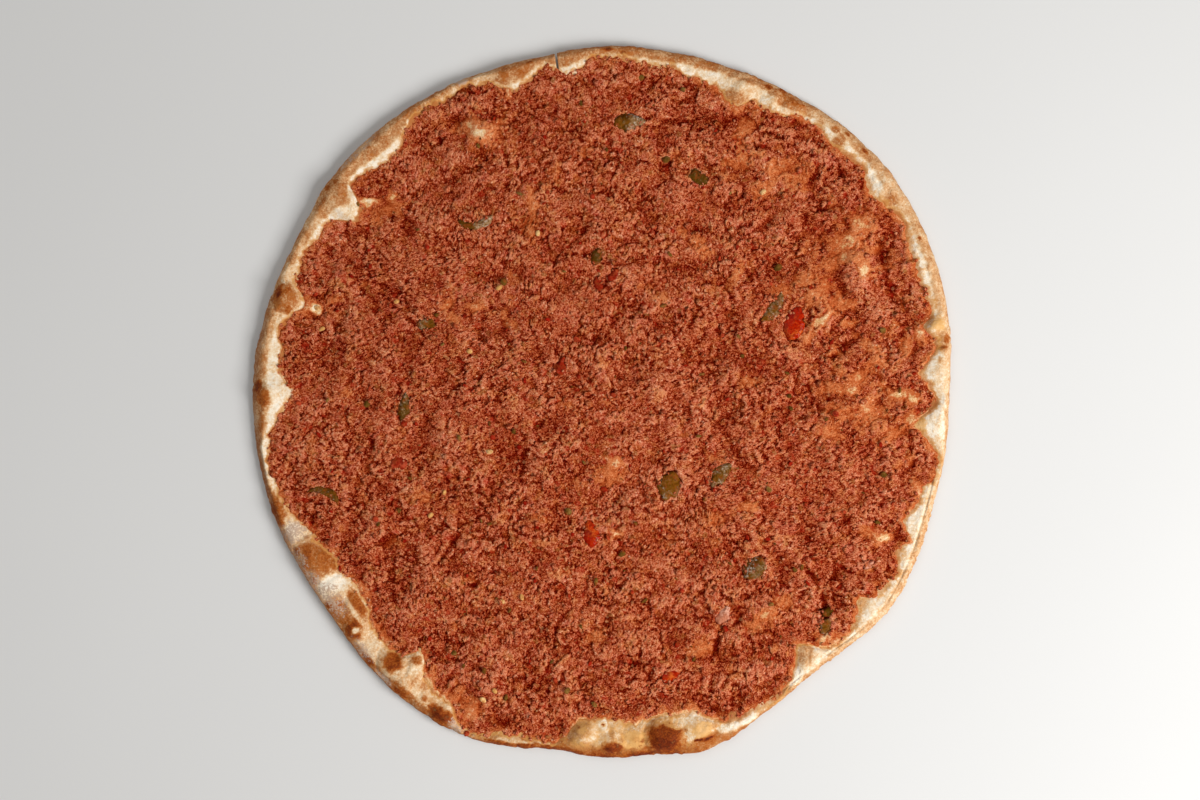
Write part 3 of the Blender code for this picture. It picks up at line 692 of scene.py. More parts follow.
@dataclass(frozen=True)
class MinceFinish:
    """Cooked spiced mince: rust brown crumbs with painted shade between them and painted glints on
    top, orange where sauce shows.
    """

    name: str = "mince_finish"
    meat: Stops = (
        (0.04, (0.085, 0.0012, 0.0002)), (0.27, (0.2, 0.0095, 0.0012)),
        (0.5, (0.385, 0.058, 0.015)), (0.74, (0.55, 0.13, 0.05)), (1.0, (0.72, 0.26, 0.135)),
    )
    sauce: Stops = (
        (0.1, (0.25, 0.026, 0.0035)), (0.5, (0.46, 0.092, 0.021)), (0.9, (0.65, 0.21, 0.075)),
    )
    salmon: Stops = (
        (0.1, (0.35, 0.052, 0.008)), (0.5, (0.55, 0.124, 0.033)), (0.9, (0.74, 0.26, 0.098)),
    )
    cream: Stops = (
        (0.1, (0.46, 0.17, 0.045)), (0.5, (0.76, 0.4, 0.155)), (0.9, (0.93, 0.68, 0.4)),
    )
    drab: Stops = (
        (0.04, (0.075, 0.002, 0.0003)), (0.5, (0.31, 0.07, 0.017)), (1.0, (0.58, 0.25, 0.12)),
    )
    golden: Stops = (
        (0.04, (0.1, 0.003, 0.0003)), (0.5, (0.43, 0.083, 0.014)), (1.0, (0.76, 0.32, 0.115)),
    )
    ruddy: Stops = (
        (0.04, (0.09, 0.001, 0.0004)), (0.5, (0.37, 0.036, 0.013)), (1.0, (0.66, 0.19, 0.12)),
    )
    dough: Colour = (0.92, 0.74, 0.50)
    # Colour of the painted glints on the grains
    glint: Colour = (0.88, 0.50, 0.30)
    rose: Colour = (0.50, 0.085, 0.050)
    red: Colour = (0.42, 0.018, 0.006)
    olive: Colour = (0.20, 0.080, 0.010)
    pale: Colour = (0.70, 0.31, 0.13)

    def material(self) -> bpy.types.Material:
        """Build the material.

        Returns:
            The material.
        """
        board = Board(self.name, {"Specular IOR Level": 0.0})
        grain = board.cloud(0.8, 3.0, 0.68) - 0.5
        grit = board.cloud(0.42, 2.0, 0.65) - 0.5
        broad = board.cloud(14.0, 3.0, 0.55) - 0.5
        flake = board.flakes(0.9) - 0.5
        # Painted shade: hollows and the lower sides of crumbs, low in the rise layer, take the dark
        # end of the ramp, with each crumb's own tint mixed in.
        hollow_shade_and_tint = board.layer("rise") * 0.80 + board.layer("tint") * 0.05
        tone = hollow_shade_and_tint + grain * 1.7 + flake * 0.14 + grit * 2.2 + broad * 0.6 + 0.075
        colour = board.ramp(tone, self.meat)
        rosy = (board.layer("hue") + grain * 0.4 + broad).rise(0.3, 1.1)
        colour = board.mix(rosy * tone.rise(0.2, 0.6) * 0.35, colour, self.rose)
        for size, low, high, share, stops in (
            (3.1, 0.54, 0.72, 0.45, self.drab), (5.2, 0.50, 0.68, 0.6, self.golden),
            (4.1, 0.52, 0.70, 0.5, self.ruddy),
        ):
            patch = (board.cloud(size, 3.0, 0.6, 0.4) + grain * 0.3).rise(low, high)
            colour = board.mix(patch * share, colour, board.ramp(tone, stops))
        smear = board.layer("smear") + grain * 1.1 + (board.cloud(2.6, 3.0, 0.6) - 0.5) * 2.4
        soft = tone + (0.55 - tone) * smear.rise(0.5, 1.7) * 0.45
        for low, high, stops in (
            (0.10, 0.95, self.sauce), (0.65, 1.55, self.salmon), (1.50, 2.35, self.cream),
        ):
            colour = board.mix(smear.rise(low, high), colour, board.ramp(soft, stops))
        colour = board.mix(smear.rise(2.40, 3.00), colour, self.dough)
        bare = 1.0 - smear.rise(0.8, 1.6)
        colour = board.mix(board.flakes(2.1).rise(0.95, 0.99) * bare * 0.4, colour, self.red)
        herb = board.flakes(1.9).rise(0.96, 0.99) * bare * tone.rise(0.3, 0.5)
        colour = board.mix(herb * 0.5, colour, self.olive)
        colour = board.mix(board.flakes(1.25).rise(0.96, 1.0) * bare * 0.4, colour, self.pale)
        # Painted highlights: small glints on the tops of the grains.
        painted_glint = board.flakes(0.66).rise(0.92, 1.0) * tone.rise(0.55, 0.85)
        colour = board.mix(painted_glint * 0.7, colour, self.glint)
        normal = board.relief(grain * 0.4 + grit * 0.35 + flake * 0.25 + 0.5, 0.7, 0.8)
        return board.finish(Base_Color=colour, Roughness=0.70 + grit * 0.3, Normal=normal)


@dataclass(frozen=True)
class ChipFinish:
    """Cooked chopped vegetable: moist flesh, darker skin with painted shade on one side, and a
    paler end with painted highlights.
    """

    name: str
    flesh: Colour
    skin: Colour
    pale: Colour
    fresh: Colour = (0.090, 0.040, 0.003)
    # Colour of the painted highlights where the pale end looks glassy
    painted_glint: Colour = (0.62, 0.52, 0.42)
    sauce: Colour = (0.32, 0.056, 0.011)
    gloss: float = 0.03
    rough: float = 0.4
    glint_share: float = 0.0
    messy: float = 0.5

    def material(self) -> bpy.types.Material:
        """Build the material.

        Returns:
            The material.
        """
        board = Board(self.name, {"Specular IOR Level": 0.0, "Coat Roughness": 0.12,
                                  "Coat Weight": self.gloss})
        fine = board.cloud(0.8, 3.0, 0.62) - 0.5
        broad = board.cloud(2.6, 2.0, 0.5, 0.5) - 0.5
        fresh = (board.layer("fresh") + fine + broad * 2.4).rise(0.2, 0.9)
        colour = board.mix(fresh, self.flesh, self.fresh)
        # The pale end is paler flesh; on some chips it also stands in for a painted highlight.
        pale = (board.layer("pale") + fine * 1.2 + broad * 2.6).rise(0.25, 1.0)
        colour = board.mix(pale, colour, self.pale)
        # One side of each chip is darker: darker skin, and painted shade on the side away from the
        # light.
        skin = (board.layer("skin") + fine + broad * 2.0).rise(0.3, 0.9)
        colour = board.mix(skin, colour, self.skin)
        blot = board.cloud(1.3, 4.0, 0.7, 0.4)
        colour = board.mix(blot.rise(0.50, 0.62) * 0.75, colour, self.skin)
        # Painted highlights: pale specks between the dark blots.
        colour = board.mix((1.0 - blot).rise(0.56, 0.66) * 0.4, colour, self.pale)
        speck = board.flakes(0.7)
        # Painted highlights: whitish glints on the pale end.
        glint_spots = speck.rise(0.5, 1.0) * pale.rise(0.4, 1.0)
        colour = board.mix(glint_spots * self.glint_share, colour, self.painted_glint)
        colour = board.mix((1.0 - speck).rise(0.70, 0.95) * 0.5, colour, self.skin)
        film = board.cloud(1.9, 3.0, 0.65, 0.4).rise(0.50, 0.64)
        colour = board.mix(film * self.messy, colour, self.sauce)
        normal = board.relief(fine * 0.6 + broad * 0.4 + 0.5, 0.7, 0.7)
        rough = self.rough + (fine + 0.5) * 0.2
        return board.finish(Base_Color=colour, Roughness=rough, Normal=normal)


@dataclass(frozen=True)
class FloorFinish:
    """Plain pale studio floor."""

    colour: Colour = (0.72, 0.715, 0.70)

    def material(self) -> bpy.types.Material:
        """Build the material.

        Returns:
            The material.
        """
        board = Board("floor_finish", {"Roughness": 0.8, "Specular IOR Level": 0.2})
        tone = board.cloud(300.0, 2.0).rise(0.2, 0.8)
        darker: Colour = tuple(0.97 * part for part in self.colour)
        return board.finish(Base_Color=board.mix(tone, self.colour, darker))


# Mesh making

# Width of a piece's flat map in millimetres, and how upright walls lean on it
MAP_SPAN = 330.0
MAP_LEAN = (0.31, 0.17)


def make_piece(
    name: str,
    points: Array,
    faces: list[Array],
    material: bpy.types.Material,
    layers: dict[str, Array] | None = None,
    sharp: float | None = None,
) -> bpy.types.Object:
    """Make a smooth-shaded mesh object.

    Args:
        name: Name of the piece.
        points: Corners in millimetres, (n, 3).
        faces: Corner numbers, as arrays of (m, 3) or (m, 4).
        material: Its finish.
        layers: Values at the corners, by attribute name.
        sharp: Angle in degrees above which an edge stays sharp.

    Returns:
        The linked object.
    """
    mesh = bpy.data.meshes.new(name)
    mesh.vertices.add(len(points))
    mesh.vertices.foreach_set("co", (np.asarray(points) * MM).astype(np.float32).ravel())
    corners = np.concatenate([face.ravel() for face in faces]).astype(np.int32)
    sizes = np.concatenate([np.full(len(face), face.shape[1]) for face in faces])
    mesh.loops.add(len(corners))
    mesh.polygons.add(len(sizes))
    starts = np.cumsum(sizes) - sizes
    mesh.polygons.foreach_set("loop_start", starts.astype(np.int32))
    mesh.polygons.foreach_set("vertices", corners)
    mesh.update(calc_edges=True)
    for key, values in (layers or {}).items():
        layer = mesh.attributes.new(key, "FLOAT", "POINT")
        layer.data.foreach_set("value", np.asarray(values, dtype=np.float32).ravel())
    mesh.shade_smooth()
    if sharp is not None:
        mesh.set_sharp_from_angle(angle=math.radians(sharp))
    mesh.materials.append(material)
    item = bpy.data.objects.new(name, mesh)
    bpy.context.scene.collection.objects.link(item)
    return item


def lay_flat_map(item: bpy.types.Object) -> None:
    """Give a piece a map seen from almost straight above, for baking its colours.

    Args:
        item: The piece.
    """
    mesh = item.data
    corners = np.zeros(len(mesh.loops), dtype=np.int32)
    mesh.loops.foreach_get("vertex_index", corners)
    points = np.zeros(len(mesh.vertices) * 3, dtype=np.float32)
    mesh.vertices.foreach_get("co", points)
    flat = points.reshape(-1, 3)[corners]
    places = (flat[:, :2] + np.array(MAP_LEAN) * flat[:, 2:3]) / (MAP_SPAN * MM) + 0.5
    mesh.uv_layers.new(name="OFBake").data.foreach_set("uv", places.astype(np.float32).ravel())


def declare(item: bpy.types.Object, slot: str, *nodes: str) -> bpy.types.Object:
    """Say what a piece rides on and which nodes it stands for.

    Args:
        item: The piece.
        slot: Its finish, which is not used.
        nodes: Nodes of the CAD model that it replaces.

    Returns:
        The piece.
    """
    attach(item, BODY)
    if nodes:
        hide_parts(*nodes)
    mesh = item.data
    log.info("%s: %d corners, %d faces", item.name, len(mesh.vertices), len(mesh.polygons))
    return item


def band(first: Array, second: Array) -> Array:
    """Return the quads between two closed rings of corner numbers."""
    return np.column_stack([first, np.roll(first, -1), np.roll(second, -1), second])


def fan(ring: Array, middle: int) -> Array:
    """Return the triangles between a closed ring of corner numbers and a middle corner."""
    return np.column_stack([ring, np.roll(ring, -1), np.full(len(ring), middle)])


def halving_faces(outer: int, inner: int, count: int) -> Array:
    """Join a closed ring to an inner one of half as many corners.

    Args:
        outer: Number of the first corner of the outer ring.
        inner: Number of the first corner of the inner ring.
        count: Corners of the outer ring.

    Returns:
        The triangles.
    """
    step = np.arange(count // 2)
    a, b, c = outer + 2 * step, outer + 2 * step + 1, outer + (2 * step + 2) % count
    p, q = inner + step, inner + (step + 1) % (count // 2)
    return np.concatenate([np.column_stack(t) for t in ((a, b, p), (b, q, p), (b, c, q))])


# Bread

EDGE_GRAIN = Grain(41)


@dataclass(frozen=True)
class BreadForm:
    """Form of the bread, with the sizes of the CAD source and a fuller inner side of the rim.

    Waves start with their height, the base is given by insets and heights, and the slit in the
    rim by its bearing, length and width.
    """

    outline: RoundCurve = RoundCurve(OUTLINE)
    bare_rim: RoundCurve = RoundCurve(RIM_WIDTH)
    narrowest_rim: float = 1.6
    edge_circle: float = 150.0
    edge_waves: tuple[tuple[float, float], ...] = ((1.2, 2.3), (1.5, 5.6))
    longest_shred: float = 1.5
    floor_top: float = 3.2
    base: tuple[tuple[float, float], ...] = ((15.0, 0.0), (7.0, 0.8), (1.6, 2.1))
    outer_edge_height: float = 3.4
    crown_shares: tuple[float, ...] = (
        0.0, 0.06, 0.13, 0.22, 0.32, 0.44, 0.53, 0.62, 0.72, 0.82, 0.92, 1.0,
    )
    crest_at: float = 0.36
    crest_base: float = 5.15
    crest_gain: float = 0.22
    crest_waves: tuple[tuple[float, float, float], ...] = ((0.3, 3.0, 0.6), (0.22, 7.0, 2.0))
    meat_line_share: float = 0.28
    meat_line_lift: float = 1.6
    inner_slope_run: float = 3.2
    shelf: float = 1.3
    leaning_wall: Sector = Sector(183.0, 26.0, 26.0)
    wall_inset: float = 2.4
    slit: tuple[float, float, float] = (97.5, 8.2, 0.9)

    def rim_width(self, bearing: Array) -> Array:
        """Return the width of the bare rim."""
        tongues = (extra * Sector(at, run, run).cover(bearing) for at, run, extra in RIM_TONGUES)
        return np.maximum(self.bare_rim.at(bearing) + sum(tongues), self.narrowest_rim)

    def meat_inset(self, bearing: Array) -> Array:
        """Trace the meat's ragged edge.

        Args:
            bearing: Bearings in degrees.

        Returns:
            Its inset at each.
        """
        width = self.rim_width(bearing)
        x, y = spot(self.edge_circle, bearing)
        ragged = sum(height * EDGE_GRAIN.flat(x, y, length) for height, length in self.edge_waves)
        return width - np.clip(ragged, -self.shelf, np.minimum(self.longest_shred, 0.2 * width))

    def crest_height(self, bearing: Array) -> Array:
        """Measure the rim's crest.

        Args:
            bearing: Bearings in degrees.

        Returns:
            Its height at each.
        """
        turn = np.radians(bearing)
        waves = sum(
            height * np.sin(count * turn + start) for height, count, start in self.crest_waves)
        return self.crest_base + self.crest_gain * self.rim_width(bearing) + waves

    def meat_line_height(self, bearing: Array) -> Array:
        """Return the height of the bread where the meat begins."""
        share = self.meat_line_share * (self.crest_height(bearing) - self.floor_top)
        return self.floor_top + share + self.meat_line_lift

    def floor_radius(self, bearing: Array) -> Array:
        """Return the radius at which the inner slope meets the floor."""
        inset = self.rim_width(bearing)
        return self.outline.at(bearing) - inset - self.shelf - self.inner_slope_run

    def lean(self, bearing: Array) -> Array:
        """Return how far the crust's top edge stands in from the outline."""
        inset = 0.5 + (self.wall_inset - 0.5) * self.leaning_wall.cover(bearing)
        return np.minimum(inset, 0.4 * self.rim_width(bearing))

    def blister_height(self, bearing: Array, radius: Array) -> Array:
        """Measure the blisters.

        Args:
            bearing: Bearings in degrees.
            radius: Radius of the points.

        Returns:
            The height that the blisters add at each.
        """
        x, y = spot(radius, bearing)
        raised = np.zeros(np.shape(x))
        for centre, inset, reach, height in BLISTERS:
            middle_x, middle_y = spot(self.outline.at(centre) - inset, centre)
            raised += height * smoothstep(1.3 - np.hypot(x - middle_x, y - middle_y) / reach)
        return raised

    def crown(self, bearing: Array, share: float) -> tuple[Array, Array]:
        """Trace the crust's top.

        Args:
            bearing: Bearings in degrees.
            share: How far in from its outer edge, where 1 is at the meat.

        Returns:
            Its radius and height at each bearing.
        """
        width, crest, lean = self.rim_width(bearing), self.crest_height(bearing), self.lean(bearing)
        radius = self.outline.at(bearing) - lean - share * (width - lean)
        if share < self.crest_at:
            rise = math.sin(0.5 * math.pi * (0.3 + 0.7 * share / self.crest_at))
            height = self.outer_edge_height + (crest - self.outer_edge_height) * rise
        else:
            fall = (share - self.crest_at) / (1.0 - self.crest_at)
            line = np.minimum(self.meat_line_height(bearing), crest)
            height = crest + (line - crest) * fall**1.5
        fade = smoothstep((1.0 - share) / 0.25)
        return radius, height + self.blister_height(bearing, radius) * fade

    def section(self, bearing: Array) -> tuple[Array, Array, int]:
        """Trace the bread's section from the base, round the edge and down to the floor.

        Args:
            bearing: Bearings of the columns.

        Returns:
            Control points (k, columns, 2), how many steps each stretch takes, and the number
            of the control point on the outer edge.
        """
        outline, lean = self.outline.at(bearing), self.lean(bearing)
        rows = [(outline - inset, np.full_like(outline, height)) for inset, height in self.base]
        edge = len(rows)
        rows.append((outline, self.outer_edge_height - 0.6 * lean))
        rows += [self.crown(bearing, share) for share in self.crown_shares]
        shelf = outline - self.rim_width(bearing) - self.shelf
        rows.append((shelf, self.meat_line_height(bearing) - 0.1))
        rows.append((self.floor_radius(bearing), np.full_like(outline, self.floor_top)))
        steps = np.array([3, 3, 2] + [3] * len(self.crown_shares) + [1, 3])
        return np.array([np.column_stack(row) for row in rows]), steps, edge


def sample_path(controls: Array, steps: Array) -> Array:
    """Run a smooth curve through control points.

    Args:
        controls: Control points (k, columns, 2).
        steps: Number of samples for each stretch between two of them.

    Returns:
        Points (rings, columns, 2), the last control point among them.
    """
    chords = np.linalg.norm(np.diff(controls, axis=0), axis=2, keepdims=True) + 1e-6
    slopes = np.diff(controls, axis=0) / chords
    middle = (slopes[:-1] * chords[1:] + slopes[1:] * chords[:-1]) / (chords[:-1] + chords[1:])
    tangents = np.concatenate([slopes[:1], middle, slopes[-1:]])
    rings = []
    for index, count in enumerate(steps):
        pulls = tangents[index:index + 2] * chords[index]
        rings += [hermite(t, controls[index:index + 2], pulls) for t in np.arange(count) / count]
    return np.array(rings + [controls[-1]])


@dataclass
class Crust:
    """The baked bread: underside, rim with its blisters and marks, and the floor inside."""

    form: BreadForm = field(default_factory=BreadForm)
    columns: int = 1440
    slit_wall: float = 0.02
    waves: tuple[tuple[float, float], ...] = ((0.32, 8.0), (0.2, 3.4), (0.1, 1.6))
    bubbles: Crumble = Crumble(3.6, 0.62, 0.1, 0.0, 0.34, 0.0, 0.0)
    crumbly_side: Sector = Sector(323.0, 24.0, 5.0)
    grooved_side: Sector = Sector(343.0, 9.0, 3.0)
    oily_side: Sector = Sector(350.0, 75.0, 25.0)
    shaded_side: Sector = Sector(183.0, 26.0, 12.0)
    lip_grain: float = 0.5
    closing_rings: tuple[float, ...] = (0.93, 0.8, 0.6, 0.4, 0.2)
    seed: int = 11

    def half_slit(self) -> float:
        """Return half the angle that the slit opens, in degrees."""
        centre, _, width = self.form.slit
        return math.degrees(0.5 * width / self.form.outline.at(centre))

    def bearings(self) -> Array:
        """Spread the columns round the bread, with four close together at the slit's walls.

        Returns:
            Their bearings in degrees.
        """
        centre, half, wall = self.form.slit[0], self.half_slit(), self.slit_wall
        lips = np.array([-half - wall, -half + wall, half - wall, half + wall]) + centre
        for count in range(self.columns - 8, self.columns):
            even = np.arange(count) * 360.0 / count
            kept = even[angle_between(even, centre) > half + 3.0 * wall]
            if len(kept) + len(lips) == self.columns:
                return np.sort(np.concatenate([kept, lips]))
        raise ValueError("no even spacing leaves room for the slit")

    def open_slit(self, rings: Array, bearing: Array) -> None:
        """Pull the columns inside the slit back to its end, so that its walls stand upright.

        Args:
            rings: Radius and height of each point, which are changed in place.
            bearing: Bearings of the columns.
        """
        centre, length, _ = self.form.slit
        for column in np.flatnonzero(angle_between(bearing, centre) < self.half_slit()):
            end = self.form.outline.at(bearing[column]) - length
            beyond = np.flatnonzero(rings[:, column, 0] > end)
            heights = rings[beyond, column, 1]
            rings[beyond, column, 0] = end
            rings[beyond, column, 1] = np.linspace(heights[0], heights[-1], len(beyond))

    def along(self, bearing: Array, centre: float, inset: float) -> Array:
        """Return distances along the rim from a spot at a bearing and an inset."""
        return np.radians(turn_from(centre, bearing)) * (self.form.outline.at(centre) - inset)

    def marks(self, bake: Array, bearing: Array, inset: Array, warp: Array) -> dict[str, Array]:
        """Paint the oven's marks.

        Args:
            bake: How far each corner is baked, which is changed in place.
            bearing: Bearing of each corner.
            inset: Inset of each corner.
            warp: Noise that makes the marks' outlines uneven.

        Returns:
            Strength of flour and of yellow dough at each corner, by tone.
        """
        painted = {tone.value: np.zeros_like(inset) for tone in (FLOUR, YELLOW)}
        for tone, centre, middle, length, width, strength, *ring in MARKS:
            along = self.along(bearing, centre, middle)
            gap = np.hypot(along / length, (inset - middle) / width) * (1.0 + 0.28 * warp)
            cover = 1.0 - np.abs(gap - 0.86) / ring[0] if ring else (1.36 - gap) / 0.75
            near = angle_between(bearing, centre) < 20.0
            cover = smoothstep(cover) * min(1.0, 1.2 * strength) * near
            if tone in BAKED:
                bake += (BAKED[tone] - bake) * cover
            else:
                np.maximum(painted[tone.value], cover, out=painted[tone.value])
        return painted

    def build(self) -> bpy.types.Object:
        """Build and dress the crust.

        Returns:
            The piece.
        """
        form, grain = self.form, Grain(self.seed)
        bearing = self.bearings()
        controls, steps, edge = form.section(bearing)
        rings = sample_path(controls, steps)
        self.open_slit(rings, bearing)
        smooth = np.stack([*spot(rings[..., 0], bearing), rings[..., 1]], axis=2)
        across = np.roll(smooth, -1, axis=1) - np.roll(smooth, 1, axis=1)
        normals = np.cross(across, np.gradient(smooth, axis=0))
        normals /= np.linalg.norm(normals, axis=2, keepdims=True) + 1e-9

        inset = form.outline.at(bearing) - rings[..., 0]
        angles = np.broadcast_to(bearing, inset.shape)
        level = np.arange(len(rings))[:, None] * np.ones(self.columns)
        top = smoothstep((level - steps[:edge].sum() + 3) / 4.0)
        fade = smoothstep((form.rim_width(bearing) - inset) / 2.0)
        lift = sum(height * grain.at(smooth, length) for height, length in self.waves)
        bumps, _ = Heap(self.seed + 1).at(*smooth[..., :2].reshape(-1, 2).T, self.bubbles)
        patch = np.clip(0.5 + 1.4 * grain.at(smooth, 12.0), 0.0, 1.0)
        lift += bumps.reshape(top.shape) * patch * top
        lift = lift * (0.25 + 0.75 * top) * (0.3 + 0.7 * fade)
        lift += self.seams(angles, inset, smooth, grain) * top
        lift *= (level > 0.02 * (len(rings) - 1)) & (angle_between(angles, form.slit[0]) >= 0.25)
        points = smooth + normals * lift[..., None]
        points[..., 2] = np.maximum(points[..., 2], 0.0)
        return self.close(points, self.dress(angles, inset, top, smooth, grain))

    def seams(self, bearing: Array, inset: Array, points: Array, grain: Grain) -> Array:
        """Cut the groove and the crumbly lip of one side, and the rings round the blisters.

        Args:
            bearing: Bearing of each corner.
            inset: Inset of each corner.
            points: The corners.
            grain: Noise.

        Returns:
            The height that they add, below 0 where they cut in.
        """
        side = self.crumbly_side.cover(bearing)
        rough = grain.at(points, 1.1)
        lip = side * smoothstep((3.0 - inset) / 0.8) * rough * self.lip_grain
        wander = 0.5 * grain.at(points, 14.0)
        groove = smoothstep(1.0 - np.abs(inset - 3.4 - wander) / 0.9)
        groove = -0.40 * self.grooved_side.cover(bearing) * groove
        crease = -0.35 * smoothstep(1.0 - np.abs(inset - 3.2 - wander) / 0.8) * side
        rings = np.zeros_like(inset)
        for centre, middle, reach, height in BLISTERS:
            gap = np.hypot(self.along(bearing, centre, middle), inset - middle)
            gap = gap / reach * (1.0 + 0.10 * rough)
            rings -= 0.22 * height * smoothstep(1.0 - np.abs(gap - 1.22) / 0.16)
        return lip + groove + crease + rings

    def dress(
        self, bearing: Array, inset: Array, top: Array, points: Array, grain: Grain
    ) -> dict[str, Array]:
        """Paint the rim: how far it is baked, the marks, the oil that the meat leaves, and painted
        shade on the leaning wall.

        Args:
            bearing: Bearing of each corner.
            inset: Inset of each corner.
            top: How far each corner lies on the upper side, from 0 to 1.
            points: The corners.
            grain: Noise.

        Returns:
            Values at the corners, by attribute name.
        """
        ripple, wave, drift, grit = (grain.at(points, length) for length in (2.6, 7.0, 19.0, 1.2))
        edge = RoundCurve(TAN_BAND).at(bearing) + 0.6 * ripple + 0.5 * wave
        share = np.clip(RoundCurve(WHITE_BAND).at(bearing) + 0.12 * wave, 0.0, 1.0)
        white = smoothstep((inset - edge + 0.4) / 1.8) * share
        tan = RoundCurve(TAN_LEVEL).at(bearing) + 0.09 * wave + 0.06 * ripple + 0.05 * drift
        tan += 0.04 * smoothstep(1.0 - inset / 1.4)
        bake = tan + (0.05 + 0.06 * ripple - tan) * white
        layers = self.marks(bake, bearing, inset, ripple + 0.7 * grit)
        line = self.form.meat_inset(bearing[0])
        reach = np.clip(1.8 + 1.7 * wave + 0.6 * ripple, 0.8, 4.6)
        reach *= 1.0 + 0.8 * self.oily_side.cover(bearing)
        layers["stain"] = smoothstep(1.0 - (line - inset) / reach) * (0.9 + 0.5 * drift)
        layers = {key: layer * top for key, layer in layers.items()}
        # Painted shade on the outer side of the leaning wall
        wall = self.shaded_side.cover(bearing)
        shade = 0.5 * wall * smoothstep((self.form.wall_inset + 0.2 - inset) / 0.8)
        return layers | {"bake": np.clip(bake, 0.0, 1.0), "shade": shade, "under": 1.0 - top}

    def close(self, points: Array, layers: dict[str, Array]) -> bpy.types.Object:
        """Close the crust below and inside with rings of ever fewer corners.

        Args:
            points: The corners (rings, columns, 3).
            layers: Values at the corners, by attribute name.

        Returns:
            The piece.
        """
        total = points[..., 0].size
        corners = [points.reshape(-1, 3)]
        numbers = np.arange(total).reshape(points.shape[:2])
        faces = [band(*pair) for pair in zip(numbers[:-1], numbers[1:])]
        below: list[float] = []
        for outer, ring, under in ((0, points[0], 1.0), (numbers[-1, 0], points[-1], 0.0)):
            way = -1 if under else 1
            left, start = self.columns, total
            for share in self.closing_rings:
                ring = ring[::2]
                corners.append(ring * np.array([share, share, 1.0]))
                faces.append(halving_faces(outer, total, left)[:, ::way])
                outer, left, total = total, len(ring), total + len(ring)
            corners.append(np.array([[0.0, 0.0, ring[:, 2].mean()]]))
            faces.append(fan(outer + np.arange(left), total)[:, ::way])
            total += 1
            below += [under] * (total - start)
        closed = np.array(below)
        values = {key: np.append(layer, closed * (key == "under")) for key, layer in layers.items()}
        item = make_piece("crust", np.concatenate(corners), faces, CrustFinish().material(), values)
        return declare(item, "flatbread", "flatbread")


# Meat


@dataclass(frozen=True)
class MeatForm:
    """Form of the meat layer, close to the sizes of the CAD source."""

    bread: BreadForm = field(default_factory=BreadForm)
    gap: float = 0.15
    top: float = 6.2
    edge_thickness: float = 0.35
    edge_run: float = 8.0
    broad_relief: tuple[float, float] = (0.55, 42.0)
    lump_relief: tuple[float, float] = (2.0, 13.0)
    deepest_relief: float = -1.2
    calm_margin: float = 7.0

    def edge_radius(self, bearing: Array) -> Array:
        """Return the radius of the meat's edge."""
        return self.bread.outline.at(bearing) - self.bread.meat_inset(bearing)

    def edge_height(self, bearing: Array) -> Array:
        """Measure the crust's inner slope under the meat's ragged edge.

        Args:
            bearing: Bearings in degrees.

        Returns:
            Its height at each.
        """
        bread = self.bread
        width, crest = bread.rim_width(bearing), bread.crest_height(bearing)
        line = np.minimum(bread.meat_line_height(bearing), crest)
        over = np.maximum(width - bread.meat_inset(bearing), 0.0) / (1.0 - bread.crest_at)
        fall = np.clip(1.0 - over / (width - bread.lean(bearing)), 0.0, 1.0)
        return crest + (line - crest) * fall**1.5

    def relief(self, x: Array, y: Array) -> Array:
        """Measure the slow waves, lumps and swellings that the CAD source has too.

        Args:
            x: First coordinates.
            y: Second coordinates.

        Returns:
            Their height over the mean level.
        """
        broad, lumps = self.broad_relief, self.lump_relief
        height = np.array([
            broad[0] * noise.noise(Vector((*place, 4.0)) / broad[1])
            + lumps[0] * noise.noise(Vector((*place, 31.0)) / lumps[1])
            for place in zip(x.tolist(), y.tolist())
        ])
        for centre_x, centre_y, radius, swell in SWELLINGS:
            height += swell * smoothstep(1.4 - np.hypot(x - centre_x, y - centre_y) / radius)
        calm = np.ones(len(x))
        for _, chip_x, chip_y, length, width, *_ in CHIPS:
            clear = np.hypot(x - chip_x, y - chip_y) - 0.5 * max(length, width)
            calm = np.minimum(calm, smoothstep(clear / self.calm_margin))
        return np.maximum(height, self.deepest_relief) * calm


# Regions with more smears: x, y, half length, half width, turn, strength
OILY_REGIONS = (
    (114, 34, 62, 30, 100, 0.75), (116, -4, 26, 20, 10, 0.85), (72, 106, 34, 20, 120, 0.7),
    (97, 46, 18, 13, 20, 0.8), (-44, 46, 26, 18, 0, 0.35), (52, 58, 20, 14, 0, 0.3),
)

# How far the oil along the meat's edge shows: (bearing, level)
OILY_EDGE = (
    (0, 1.7), (12, 1.4), (20, 1), (36, 1.5), (45, 1.2), (60, 1.6), (75, 1), (90, 0.6), (120, 0.6),
    (142, 1), (160, 0.9), (180, 0.6), (195, 0.8), (206, 1.3), (222, 1.4), (236, 1.8), (242, 1.6),
    (249, 0.4), (257, 0.9), (265, 1.5), (285, 1.9), (292, 1.1), (300, 0.9), (308, 1.7), (320, 1.5),
    (330, 1), (338, 1.4), (350, 1.2),
)

